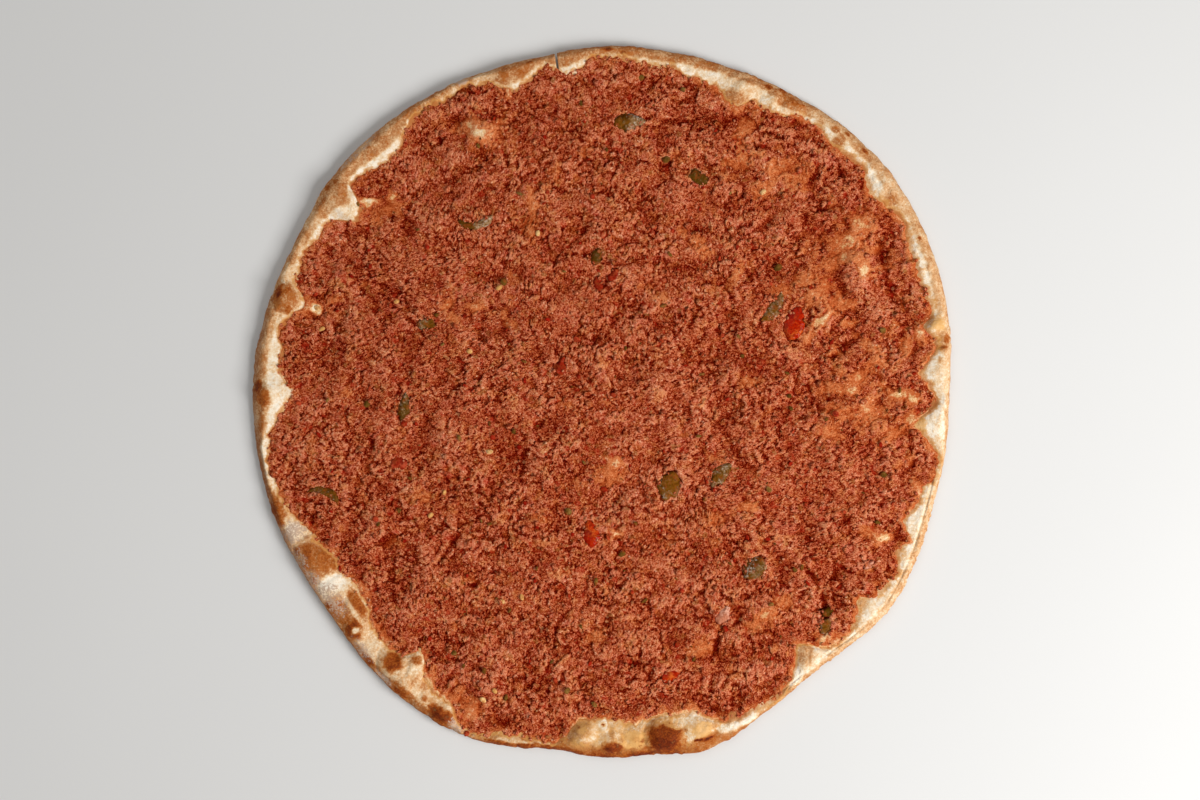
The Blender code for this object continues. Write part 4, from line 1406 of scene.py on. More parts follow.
# Smears where the dough and its oil lie close under the meat: x, y, half length, half width,
# turn, level (1 is orange, 2 is yellow cream, above that bare dough)
SMEARS = (
    (-53, 118, 3.8, 2.8, 20, 2.2), (-54, 118, 8, 5.4, 160, 1.5), (-58, 121, 4.5, 2.4, 150, 1.6),
    (-47, 121, 5, 2.4, 30, 1.1), (-49, 116, 9, 6, 0, 0.8), (-41, 136, 3.8, 1.4, 95, 1.5),
    (-102.8, 88.2, 4.4, 1.7, 0, 2.5), (-108.2, 83.7, 3.6, 2, 52, 1.6), (-92, 90, 2.6, 1.9, 30, 1.6),
    (-93, 85, 6, 3.5, 20, 1), (-99, 80, 5, 3, 110, 0.8), (-125.5, 41, 2.8, 2.2, 0, 2.6),
    (-129, 41, 5, 2.8, 10, 1.4), (-30, 84, 7, 2.2, 95, 1.1), (-31, 75, 3.4, 1.8, 100, 1.25),
    (-55, 41.5, 3.8, 2.4, 10, 1.3), (-68, 42.5, 3.6, 2.6, 60, 1.1), (-66, 37, 3.4, 2.2, 0, 1),
    (-40, 34, 2.4, 2, 0, 1.2), (-117, 45, 4.4, 2.4, 20, 0.9), (-8, 110, 3.4, 2.2, 60, 0.7),
    (62, 108, 8, 2.6, 95, 1), (85, 98, 7, 5, 60, 1), (74, 102, 4, 3, 0, 0.9),
    (71, 92, 3.2, 2.4, 20, 1.3), (114, 77, 5.4, 4.6, 0, 1.6), (108, 70, 6.8, 5.2, 20, 1.55),
    (115, 58, 3.8, 2.6, 100, 1.85), (94, 46, 6, 4, 20, 1.2), (98, 50, 7, 4, 100, 1.1),
    (62, 119, 5, 3, 60, 1.1), (107, 63, 5, 3, 30, 1.4), (100, 60, 6, 3.5, 20, 1),
    (97, 36, 5.4, 2.1, 35, 1.9), (91, 29, 4.8, 2, 50, 1.2), (104, 43, 4.4, 2.8, 60, 1.3),
    (89, 53, 6, 4, 10, 1.1), (80, 49, 4.4, 3, 0, 1), (60, 56, 4.8, 2, 60, 1.3),
    (44, 68, 4.4, 2.8, 110, 1.2), (26, 46, 3.6, 2.4, 40, 0.8), (101, 6, 6.4, 3.2, 0, 1.2),
    (112, 10, 6.4, 4.2, 40, 1.2), (109, 5, 5.2, 2.6, 0, 1.6), (120, 16, 5.4, 4, 30, 1),
    (131, 3, 4.8, 2.6, 10, 1.8), (137, 1, 3.4, 2.2, 0, 1.8), (140, 30, 4.6, 3, 80, 1.5),
    (134, 24, 5.4, 3, 80, 1.1), (66, 9, 3.4, 2.2, 0, 0.9), (105, -5, 7.4, 5.2, 0, 1),
    (118, -6, 8.4, 5.2, 20, 1), (136, -8, 4.4, 3.4, 60, 1.6), (128, -14, 6.4, 4, 20, 1.1),
    (100, -14, 6.4, 4, 0, 1), (139, -38, 5.4, 2, 100, 1.5), (124, -60, 3.6, 2.1, 12, 2.2),
    (117, -57, 4.4, 3, 0, 1), (5.5, -27.5, 3.8, 3.1, 0, 1.6), (4, -31, 7, 5.4, 0, 1),
    (6.5, -58, 3, 2.2, 0, 1.5), (50, -52, 6.4, 4, 30, 0.8), (64, -46, 4.4, 3, 0, 1.1),
    (72, -94, 4.8, 3.1, 15, 1.4), (79, -88, 5.4, 3, 20, 1.1), (66, -98, 4.4, 2.6, 0, 1),
    (88, -110, 4.4, 3.2, 60, 1.9), (98, -104, 5.4, 2.2, 45, 1.5), (44, -109, 5.4, 3, 20, 1.2),
    (75, -135, 6.4, 1.8, 25, 1.5), (-80, -42, 5.4, 3, 0, 1), (-3, -103, 3.4, 4, 0, 1),
    (-58, -136, 5.4, 4, 60, 1.3), (-63, -128, 4.4, 3, 70, 1), (-50, -22, 1.9, 1.6, 0, 2.4),
    (-28, -52, 4.4, 3, 0, 0.8), (-20, 101, 4, 2.4, 80, 0.7), (30, -62, 4.4, 3, 60, 0.7),
)

# Furrows between lumps of meat, cut into the bed and painted darker as shade: x, y, half length,
# half width, turn, depth
FURROWS = (
    (106, 23, 11, 2.3, 42, 1.2), (130, 45, 8, 2.4, -42, 1.8), (127, 51, 5, 2.4, -50, 1.5),
    (124, 66, 10, 3, 100, 0.9), (98, -92, 8.4, 2.1, 95, 1.6), (51, -105, 8.4, 1.8, 72, 1.7),
    (60, -96, 4.4, 1.6, 60, 1.1), (108, -74, 5.4, 1.7, -25, 1.2), (92, -76, 6.4, 1.9, -55, 1.2),
    (-66, -63, 10, 1.9, 55, 1.1), (-56, -81, 2.6, 1.8, 20, 1.6), (-36, -45, 5.4, 1.7, 50, 0.8),
    (-27, -10, 3.8, 2, 40, 1.1), (-35, -28, 8.4, 1.4, 80, 0.8), (-42, 107, 9, 1.6, 100, 0.8),
    (-42, 95, 6.4, 1.6, 70, 0.8), (70, 112, 4.4, 2.6, 0, 0.9), (93, 98, 9, 3, 75, 0.8),
    (72, 78, 4.4, 2.6, 20, 0.9), (82, 76, 3.4, 2.2, 60, 0.9), (105, 100, 4.4, 2.2, 20, 0.8),
    (6, 36, 5.4, 1.9, 60, 0.9), (1, 52, 4.4, 3, 70, 1.1), (108, -52, 5.4, 2.2, 30, 0.9),
    (124, -44, 4.4, 2.2, 60, 0.9), (48, -125, 6.4, 1.7, 80, 1), (54, -124, 4.4, 1.6, 60, 0.9),
    (58, -128, 5.4, 1.5, 70, 0.8), (-42, -130, 4.4, 2.2, 100, 0.9), (-71, 115, 2.8, 2.2, 0, 1),
    (10, 67, 4.4, 1.7, 60, 0.8), (5, 57, 5.4, 1.7, 60, 0.9), (64, -60, 2.6, 1.6, 20, 1.3),
    (72, -61, 2.4, 1.6, 0, 1.2), (137, -28, 3, 2, 60, 1.2), (-102, -20, 6, 1.6, 60, 0.7),
    (-110, 10, 5, 1.6, 60, 0.7), (-84, 88, 7, 1.6, 60, 0.7), (-18, -96, 6, 1.6, 60, 0.7),
    (22, -118, 6, 1.6, 70, 0.8),
)


def ovals(
    rows: tuple[tuple[float, ...], ...], x: Array, y: Array, warp: Array, reach: float
) -> Array:
    """Return the highest of soft ovals.

    Args:
        rows: Each oval's middle, half length, half width, turn in degrees and strength.
        x: First coordinates.
        y: Second coordinates.
        warp: Noise that makes their outlines uneven.
        reach: How far the ovals reach out, as a share of their size.

    Returns:
        The strength at each point.
    """
    level = np.zeros(len(x))
    for centre_x, centre_y, length, width, turn, strength in rows:
        near = np.flatnonzero(np.hypot(x - centre_x, y - centre_y) < 2.2 * length)
        swing = math.radians(turn)
        across, along = x[near] - centre_x, y[near] - centre_y
        u = (across * math.cos(swing) + along * math.sin(swing)) / length
        v = (along * math.cos(swing) - across * math.sin(swing)) / width
        cover = smoothstep((reach - np.hypot(u, v) * (1.0 + warp[near])) / reach)
        level[near] = np.maximum(level[near], strength * cover)
    return level


@dataclass(frozen=True)
class BedRead:
    """The bed at points: its height, distance in from the edge, smears, tint and hue."""

    height: Array
    margin: Array
    smear: Array
    tint: Array
    hue: Array


@dataclass
class Mince:
    """The meat: a moist bed of crumbled mince.

    Its levels run from lumps to grains, each with its share in the bed's tint and in its hue.
    """

    form: MeatForm = field(default_factory=MeatForm)
    cells: int = 576
    coarse_reach: float = 168.0
    coarse_step: float = 1.5
    levels: tuple[Crumble, ...] = (
        Crumble(7.6, 0.82, 0.16, 0.05, 0.13, 0.12, 0.8),
        Crumble(3.4, 0.80, 0.14, 0.08, 0.12, 0.24, 1.1),
        Crumble(1.7, 0.78, 0.08, 0.12, 0.06, 0.26, 1.2),
        Crumble(0.95, 0.72, 0.07, 0.18, 0.045, 0.16, 0.7),
    )
    tint_shares: tuple[float, ...] = (0.2, 0.5, 0.6, 0.4)
    hue_shares: tuple[float, ...] = (0.5, 0.4, 0.2, 0.0)
    settle: float = 0.58
    furrow: float = 0.8
    pocket: float = 4.9
    chip_reach: float = 9.0
    seed: int = 23

    def __post_init__(self) -> None:
        """Draw the noise that shapes the bed, and read the CAD relief on a coarse grid."""
        self.grain = Grain(self.seed)
        self.heaps = [Heap(self.seed + 1 + number) for number in range(len(self.levels))]
        side = np.arange(-self.coarse_reach, self.coarse_reach, self.coarse_step)
        x, y = np.meshgrid(side, side)
        self.coarse = self.form.relief(x.ravel(), y.ravel()).reshape(x.shape)

    def coarse_relief(self, x: Array, y: Array) -> Array:
        """Read the CAD relief between the points of the coarse grid.

        Args:
            x: First coordinates.
            y: Second coordinates.

        Returns:
            The height at each point.
        """
        u, v = ((places + self.coarse_reach) / self.coarse_step for places in (x, y))
        i, j = np.floor(u).astype(int), np.floor(v).astype(int)
        p, q = u - i, v - j
        grid = self.coarse
        low = grid[j, i] * (1 - p) + grid[j, i + 1] * p
        high = grid[j + 1, i] * (1 - p) + grid[j + 1, i + 1] * p
        return low * (1 - q) + high * q

    def smear(self, x: Array, y: Array, margin: Array) -> Array:
        """Measure the smears: the listed ones, faint ones and the oil along the edge.

        Args:
            x: First coordinates.
            y: Second coordinates.
            margin: Distances in from the edge.

        Returns:
            Their level at each point.
        """
        warp = 0.45 * self.grain.flat(x, y, 5.0) + 0.35 * self.grain.flat(x, y + 50.0, 2.0)
        level = 1.34 * ovals(SMEARS, x, y, warp, 1.85)
        region = ovals(OILY_REGIONS, x, y, 0.5 * warp, 1.3)
        drift = 0.9 * self.grain.flat(x + 400.0, y, 10.0)
        drift += 0.8 * self.grain.flat(x, y + 300.0, 4.2)
        spots = smoothstep(drift + 0.65 * region - 0.25)
        level = np.maximum(level, (0.85 + 0.85 * region) * spots)
        width = np.clip(3.4 + 5.0 * self.grain.flat(x, y + 90.0, 7.0), 0.9, 8.0)
        rim = smoothstep(1.0 - margin / width)
        oily = RoundCurve(OILY_EDGE).at(bearing_of(x, y))
        return level + (np.maximum(level, 1.1 * (oily + 0.6 * drift)) - level) * rim

    def crumbling(self, x: Array, y: Array) -> tuple[Array, Array, Array]:
        """Heap up the crumbs.

        Args:
            x: First coordinates.
            y: Second coordinates.

        Returns:
            The height that they add, and the tint and the hue of the crumb at each point.
        """
        warp_x, warp_y = (
            0.8 * self.grain.flat(x + shift, y, 4.0) + 0.35 * self.grain.flat(x + shift, y, 1.5)
            for shift in (0.0, 77.0))
        fine, tint, hue = np.zeros((3, len(x)))
        for number, (level, heap) in enumerate(zip(self.levels, self.heaps)):
            top, traits = heap.at(x + warp_x, y + warp_y, level)
            wave = self.grain.flat(x + 31.0 * number, y, 5.0 + 2.6 * level.size)
            fine += top * np.clip(1.0 + 1.4 * level.patchy * wave, 0.15, 1.7)
            tint += traits[:, 6] * self.tint_shares[number]
            hue += traits[:, 5] * self.hue_shares[number]
        return fine, tint, hue

    def chip_room(self, x: Array, y: Array) -> Array:
        """Measure how far points are from the nearest chip's outline.

        Args:
            x: First coordinates.
            y: Second coordinates.

        Returns:
            The distance of each, below 0 inside a chip and never over the chips' reach.
        """
        room = np.full(len(x), self.chip_reach)
        for chip in CHOPPED:
            near = np.hypot(x - chip.x, y - chip.y) < 0.5 * chip.length + self.chip_reach
            gap = chip.distance(x[near], y[near]) * max(1.0, 7.0 / chip.width)
            room[near] = np.minimum(room[near], gap)
        return room

    def read(self, x: Array, y: Array) -> BedRead:
        """Measure the bed.

        Args:
            x: First coordinates.
            y: Second coordinates.

        Returns:
            The bed at each point.
        """
        form = self.form
        bearing = bearing_of(x, y)
        margin = form.edge_radius(bearing) - np.hypot(x, y)
        line = form.bread.meat_line_height(bearing)
        lip = form.edge_height(bearing) + 0.08 + form.edge_thickness * smoothstep(margin / 1.4)
        smear = self.smear(x, y, margin)
        calm = 1.0 - 0.72 * smoothstep((smear - 0.7) / 1.1)
        fine, tint, hue = self.crumbling(x, y)
        fine = (fine - self.settle) * calm
        warp = 0.25 * self.grain.flat(x, y + 20.0, 3.0) + 0.2 * self.grain.flat(x, y, 1.6)
        cut = ovals(FURROWS, x, y, warp, 1.35)
        room = self.chip_room(x, y)
        full = form.top + self.coarse_relief(x, y) + fine - self.furrow * cut
        inward = smoothstep(margin / form.edge_run)
        height = lip + (full - lip) * inward
        height += 0.75 * fine * smoothstep((margin + 0.5) / 1.4) * (1.0 - inward)
        lap = np.clip(0.7 + 1.9 * self.grain.flat(x, y + 60.0, 1.9), -0.4, 2.2)
        height += (self.pocket - height) * smoothstep((-lap - room) / 0.9)
        height = np.where(margin < -0.05, line - 0.35 * margin, height)
        # The furrows lower the tint, which paints shade in them.
        return BedRead(height, margin, smear, tint - 2.2 * cut, hue)

    def underside(self, x: Array, y: Array) -> Array:
        """Measure the meat's underside, which lies on the bread's floor and inner slope.

        Args:
            x: First coordinates.
            y: Second coordinates.

        Returns:
            Its height at each point.
        """
        bearing = bearing_of(x, y)
        bread = self.form.bread
        climb = (np.hypot(x, y) - bread.floor_radius(bearing)) / bread.inner_slope_run
        line = bread.meat_line_height(bearing)
        rise = (line - bread.floor_top) * np.clip(climb, 0.0, 1.0)
        return bread.floor_top + self.form.gap + rise

    def disc_points(self) -> tuple[Array, Array]:
        """Map a square grid onto the disc inside the rim.

        Returns:
            The two coordinates of its points, row by row.
        """
        side = np.linspace(-1.0, 1.0, self.cells + 1)
        across, along = (grid.ravel() for grid in np.meshgrid(side, side))
        wide = np.abs(across) >= np.abs(along)
        lead = np.where(wide, across, along)
        swing = 45.0 * np.where(wide, along, across) / np.where(lead == 0.0, 1.0, lead)
        bearing = np.where(wide, swing, 90.0 - swing) + np.where(lead < 0.0, 180.0, 0.0)
        share = np.abs(lead)
        mean = self.form.edge_radius(np.arange(0.0, 360.0)).mean()
        follow = share**6
        edge = mean * (1.0 - follow) + self.form.edge_radius(bearing) * follow
        return spot(share * edge, bearing)

    def build(self) -> None:
        """Build the bed as four closed quarters."""
        x, y = self.disc_points()
        bed = self.read(x, y)
        grids = {"x": x, "y": y, "height": bed.height}
        grids |= {"smear": bed.smear, "tint": bed.tint, "hue": bed.hue}
        size = self.cells + 1
        grids = {key: grid.reshape(size, size) for key, grid in grids.items()}
        height = grids["height"]
        # Painted shade: rise is low where a point lies below its neighbours, and the finish darkens
        # it there.
        near, far = height - spread(height, 2), height - spread(height, 7)
        grids["rise"] = np.clip(0.5 + 1.15 * near + 0.42 * far, 0.0, 1.0)
        points = np.stack([grids["x"], grids["y"], height], axis=2)
        normals = np.cross(np.gradient(points, axis=1), np.gradient(points, axis=0))
        normals /= np.linalg.norm(normals, axis=2, keepdims=True)
        finish = MinceFinish("mince_bed_finish").material()
        half = self.cells // 2
        lower, upper = slice(0, half + 1), slice(half, size)
        for name, rows, columns in (
            ("south_west", lower, lower), ("south_east", lower, upper),
            ("north_west", upper, lower), ("north_east", upper, upper),
        ):
            part = {key: grid[rows, columns] for key, grid in grids.items()}
            facing = normals[rows, columns].reshape(-1, 3)
            self.close_quarter(f"mince_bed_{name}", part, facing, finish)

    def close_quarter(
        self, name: str, part: dict[str, Array], normals: Array, finish: bpy.types.Material
    ) -> None:
        """Close one quarter of the bed with walls and an underside.

        Args:
            name: Name of the piece.
            part: Grids of the quarter, by name.
            normals: Directions that its top faces, which run on into the other quarters.
            finish: Its material.
        """
        rows, columns = part["x"].shape
        numbers = np.arange(rows * columns).reshape(rows, columns)
        quads = np.column_stack([numbers[:-1, :-1].ravel(), numbers[:-1, 1:].ravel(),
                                 numbers[1:, 1:].ravel(), numbers[1:, :-1].ravel()])
        rim = np.concatenate([
            numbers[0, :-1], numbers[:-1, -1], numbers[-1, :0:-1], numbers[:0:-1, 0],
        ])
        top = np.column_stack([part[key].ravel() for key in ("x", "y", "height")])
        foot = top[rim]
        x, y, lip = foot.T
        foot = np.column_stack([x, y, np.minimum(self.underside(x, y), lip - 0.05)])
        radius, middle = np.hypot(x, y), foot[:, :2].mean(axis=0)
        inner = np.minimum(radius, self.form.bread.floor_radius(bearing_of(x, y)))
        sole = foot[:, :2] * (inner / np.maximum(radius, 1e-6))[:, None]
        sole = middle + (sole - middle) * 0.99
        floor = self.form.bread.floor_top + self.form.gap
        sole = np.column_stack([sole, np.full(len(rim), floor)])
        points = np.concatenate([top, foot, sole, [[*middle, floor]]])
        feet = len(top) + np.arange(len(rim))
        soles = feet + len(rim)
        base = fan(soles, len(points) - 1)[:, [1, 0, 2]]
        extra = len(points) - len(top)
        fills = {"smear": 0.0, "rise": 0.5, "tint": 0.0, "hue": 0.0}
        layers = {key: np.append(part[key], np.full(extra, fill)) for key, fill in fills.items()}
        faces = [quads, band(feet, rim), band(soles, feet), base]
        item = make_piece(name, points, faces, finish, layers)
        facing = np.concatenate([normals, np.zeros((extra, 3))])
        item.data.normals_split_custom_set_from_vertices(facing.tolist())
        lay_flat_map(item)
        declare(item, "meat", "meat_topping")


@dataclass(frozen=True)
class Lump:
    """Unit lump: a ball made from a cube whose sides are cut into steps."""

    steps: int

    def mesh(self) -> tuple[Array, Array]:
        """Cut the ball.

        Returns:
            Its corners, and its quads anticlockwise as seen from outside.
        """
        steps = self.steps
        numbers: dict[tuple[int, int, int], int] = {}
        corners: list[tuple[int, int, int]] = []
        quads: list[tuple[int, ...]] = []
        for axis in range(3):
            first, second = (axis + 1) % 3, (axis + 2) % 3
            for side in (0, steps):
                for i, j in itertools.product(range(steps), repeat=2):
                    quad = []
                    for di, dj in ((0, 0), (1, 0), (1, 1), (0, 1)):
                        key = [0, 0, 0]
                        key[axis], key[first], key[second] = side, i + di, j + dj
                        place = tuple(key)
                        if place not in numbers:
                            numbers[place] = len(corners)
                            corners.append(place)
                        quad.append(numbers[place])
                    quads.append(tuple(quad if side else reversed(quad)))
        ball = np.tan((np.array(corners) * 2.0 / steps - 1.0) * math.pi / 4.2)
        return ball / np.linalg.norm(ball, axis=1, keepdims=True), np.array(quads)


@dataclass(frozen=True)
class BitKind:
    """One kind of small bit on the bed: its finish, its sizes and how its lumps are broken."""

    name: str
    slot: str
    finish: MinceFinish | ChipFinish
    steps: int
    sizes: tuple[float, float]
    flatness: tuple[float, float] = (0.55, 0.85)
    slimness: tuple[float, float] = (0.62, 0.95)
    cuts: int = 7
    bite: float = 0.62
    tilt: float = 40.0
    sunk: float = 0.22
    sharp: float = 48.0

    def build(self, x: Array, y: Array, bed: Array, seed: int) -> bpy.types.Object:
        """Build every bit of the kind as one piece.

        Args:
            x: First coordinates of the bits.
            y: Second coordinates.
            bed: Height of the bed under each.
            seed: Seed of their shapes.

        Returns:
            The piece.
        """
        draw = np.random.default_rng(seed)
        count = len(x)
        ball, quads = Lump(self.steps).mesh()
        size = draw.uniform(0.0, 1.0, count)**1.3 * (self.sizes[1] - self.sizes[0]) + self.sizes[0]
        planes = draw.normal(size=(count, self.cuts, 3))
        planes /= np.linalg.norm(planes, axis=2, keepdims=True)
        depth = draw.uniform(self.bite, 1.05, (count, self.cuts))
        facing = np.einsum("vk,nck->nvc", ball, planes)
        reach = np.where(facing > 0.12, depth[:, None, :] / np.maximum(facing, 0.12), 9.0)
        reach = np.minimum(reach.min(axis=2), 1.0) * draw.uniform(0.90, 1.08, (count, len(ball)))
        shape = ball[None] * reach[..., None]
        stretch = np.column_stack([np.ones(count), draw.uniform(*self.slimness, count),
                                   draw.uniform(*self.flatness, count)])
        shape *= stretch[:, None, :] * (0.5 * size)[:, None, None]
        yaw = draw.uniform(0.0, 2.0 * math.pi, count)
        tilt = np.radians(draw.normal(0.0, self.tilt / 2.0, count))
        roll = np.radians(draw.normal(0.0, self.tilt / 2.0, count))
        turned = self.turn(shape, yaw, tilt, roll)
        half_height = turned[..., 2].max(axis=1)
        middle = bed + half_height * (1.0 - 2.0 * self.sunk)
        turned[..., 0] += x[:, None]
        turned[..., 1] += y[:, None]
        low = -half_height[:, None]
        rise = (turned[..., 2] - low) / (2.0 * half_height[:, None] + 1e-6)
        turned[..., 2] += middle[:, None]
        faces = (quads[None] + (np.arange(count) * len(ball))[:, None, None]).reshape(-1, 4)
        luck = draw.normal(0.0, 0.5, (3, count))
        # The rise layer paints each crumb darker towards its bottom, as shade under it.
        layers = {
            "tint": np.repeat(luck[0], len(ball)), "hue": np.repeat(luck[1], len(ball)),
            "pale": np.repeat(0.3 + luck[2], len(ball)), "rise": 0.15 + 0.6 * rise.ravel(),
            "smear": np.zeros(count * len(ball)),
        }
        points, finish = turned.reshape(-1, 3), self.finish.material()
        item = make_piece(self.name, points, [faces], finish, layers, self.sharp)
        lay_flat_map(item)
        return declare(item, self.slot)

    @staticmethod
    def turn(shape: Array, yaw: Array, tilt: Array, roll: Array) -> Array:
        """Turn each lump about X by its roll, about Y by its tilt and about Z by its yaw.

        Args:
            shape: Corners of the lumps.
            yaw: Turn of each about Z in radians.
            tilt: Turn of each about Y.
            roll: Turn of each about X.

        Returns:
            The turned corners.
        """

        def swing(first: Array, second: Array, angle: Array) -> tuple[Array, Array]:
            """Turn two coordinates."""
            cos, sin = np.cos(angle)[:, None], np.sin(angle)[:, None]
            return first * cos - second * sin, first * sin + second * cos

        y, z = swing(shape[..., 1], shape[..., 2], roll)
        z, x = swing(z, shape[..., 0], tilt)
        x, y = swing(x, y, yaw)
        return np.stack([x, y, z], axis=2)


CRUMB_KINDS = (
    BitKind("mince_crumbs_brown", "meat", MinceFinish("mince_brown_finish"), 2, (1.1, 2.4)),
    BitKind("mince_crumbs_pale", "meat", MinceFinish(
        "mince_pale_finish", meat=((0.06, (0.16, 0.009, 0.002)), (0.50, (0.47, 0.10, 0.034)),
                                   (0.97, (0.76, 0.34, 0.19)))), 2, (0.9, 1.8)),
)
LUMP_KIND = BitKind(
    "mince_lumps", "meat", MinceFinish("mince_lump_finish"), 3, (2.2, 3.8), sunk=0.38, cuts=9)

# Small bits that show in the meat
GREEN_PLACES = (
    (82.5, 2.4), (81.6, 12.5), (73.3, -38.5), (98.8, -7.7), (121.2, -53), (40.7, -113.3),
    (17.4, 142.3), (35.9, 137.1), (9, -67.1), (-38.5, -13), (-62.3, -16.1), (-97.9, -53.9),
    (-28.4, -73.3), (-49.1, -53.9), (-42, -130), (-51.3, -118.1), (-64.9, -110.7), (-9, -98.8),
    (-21.8, -114.2), (-103.2, -1.1), (62, 20), (-9, 131), (88, -73), (-15, -127),
)
RED_PLACES = (
    (-9.5, 122.5), (-133.1, -0.7), (59.2, 111.5), (43.3, 84.7), (-60.5, 37.6), (-28.4, -55.2),
    (-50.4, -3.3), (64, -59.6), (72.8, -60.5), (-59.2, -145.9), (-24, 92), (-4, 90), (-110, 55),
    (-40, 62), (9, 105), (53, 29), (51, 38), (-5, -115), (126, 12), (-48, 137),
)
SEED_PLACES = (
    (-45, 50), (-90, 44), (-125, 41), (-123, 32), (-58, 22), (-75, -50), (-69, -40), (-47, -127),
    (-52, -131), (-49, -22), (-28, 74), (-44, -88), (-35, -86), (71, 92),
)


@dataclass
class Scatter:
    """Places of the loose crumbs and the small chopped bits on the bed."""

    mince: Mince
    fine_spacing: float = 8.2
    lump_spacing: float = 17.0
    grid_reach: float = 166.0
    crumb_reach: float = 163.0
    fleck_reach: float = 138.0
    edge_count: int = 300
    chip_count: int = 13
    edge_room: float = -0.5
    fleck_room: float = 0.4
    chip_base: float = 6.25
    seed: int = 5

    def places(self, spacing: float, draw: np.random.Generator) -> tuple[Array, Array]:
        """Spread places evenly on a staggered grid, each a little out of line.

        Args:
            spacing: Distance between them.
            draw: Source of chance.

        Returns:
            Their coordinates.
        """
        rows = np.arange(-self.grid_reach, self.grid_reach, spacing * math.sqrt(0.75))
        columns = np.arange(-self.grid_reach, self.grid_reach, spacing)
        x, y = np.meshgrid(columns, rows)
        x = x + (np.arange(len(rows)) % 2)[:, None] * 0.5 * spacing
        x = x.ravel() + draw.uniform(-0.45, 0.45, x.size) * spacing
        y = y.ravel() + draw.uniform(-0.45, 0.45, y.size) * spacing
        inside = np.hypot(x, y) < self.crumb_reach
        return x[inside], y[inside]

    def along_edge(self, draw: np.random.Generator) -> tuple[Array, Array]:
        """Spread places along the meat's edge, on both sides of it.

        Args:
            draw: Source of chance.

        Returns:
            Their coordinates.
        """
        bearing = draw.uniform(0.0, 360.0, self.edge_count)
        off = draw.normal(-0.5, 0.8, self.edge_count)
        return spot(self.mince.form.edge_radius(bearing) + off, bearing)

    def round_chips(self, draw: np.random.Generator) -> tuple[Array, Array]:
        """Spread places round the outlines of the chopped pieces.

        Args:
            draw: Source of chance.

        Returns:
            Their coordinates.
        """
        bearing = draw.uniform(0.0, 360.0, (len(CHOPPED), self.chip_count))
        across, along = spot(draw.uniform(0.30, 0.60, bearing.shape), bearing)
        x, y, size = np.array([
            (chip.x, chip.y, 0.5 * (chip.length + chip.width)) for chip in CHOPPED
        ]).T[..., None]
        return (x + across * size).ravel(), (y + along * size).ravel()

    def build(self) -> None:
        """Build the crumbs and bits of every kind."""
        draw = np.random.default_rng(self.seed)
        self.strew((LUMP_KIND,), self.places(self.lump_spacing, draw), draw)
        groups = (
            self.places(self.fine_spacing, draw), self.along_edge(draw), self.round_chips(draw),
        )
        x, y = (np.concatenate(rows) for rows in zip(*groups))
        self.strew(CRUMB_KINDS, (x, y), draw)
        for number, (kind, listed, spacing) in enumerate(BIT_KINDS):
            x, y = self.places(spacing, draw) if spacing else np.zeros((2, 0))
            keep = np.hypot(x, y) < self.fleck_reach
            seen_x, seen_y = np.reshape(listed, (-1, 2)).T
            x, y = np.append(x[keep], seen_x), np.append(y[keep], seen_y)
            keep = self.mince.chip_room(x, y) > self.fleck_room
            x, y = x[keep], y[keep]
            kind.build(x, y, self.mince.read(x, y).height, 70 + number)

    def strew(
        self, kinds: tuple[BitKind, ...], places: tuple[Array, Array], draw: np.random.Generator
    ) -> None:
        """Build crumbs of some kinds at places where the bed takes them.

        Args:
            kinds: Kinds of crumb.
            places: Coordinates of the places.
            draw: Source of chance.
        """
        x, y = places
        bed = self.mince.read(x, y)
        room = self.mince.chip_room(x, y)
        luck = draw.random(len(x))
        kept = (bed.margin > self.edge_room) & (luck > 0.8 * np.clip(bed.smear - 0.6, 0.0, 1.0))
        kept &= room > np.where(luck < 0.5, -1.8, 0.3)
        height = np.where(room < 0.3, np.maximum(bed.height, self.chip_base), bed.height)
        kind_of = draw.integers(0, len(kinds), len(x))
        for number, kind in enumerate(kinds):
            mine = kept & (kind_of == number)
            kind.build(x[mine], y[mine], height[mine], self.seed + 31 * number + len(kinds))


# Vegetables

FINISHES = {
    "green_pepper": ChipFinish("green_pepper_finish", (0.185, 0.062, 0.004), (0.085, 0.027, 0.002),
                               (0.33, 0.185, 0.080), glint_share=0.5),
    "red_pepper": ChipFinish("red_pepper_finish", (0.30, 0.018, 0.005), (0.15, 0.006, 0.002),
                             (0.50, 0.075, 0.030)),
    "tomato": ChipFinish("tomato_finish", (0.40, 0.013, 0.001), (0.22, 0.005, 0.001),
                         (0.66, 0.12, 0.018), gloss=0.08, rough=0.3, messy=0.3),
    "onion": ChipFinish("onion_finish", (0.56, 0.20, 0.11), (0.40, 0.11, 0.05), (0.74, 0.38, 0.26)),
}

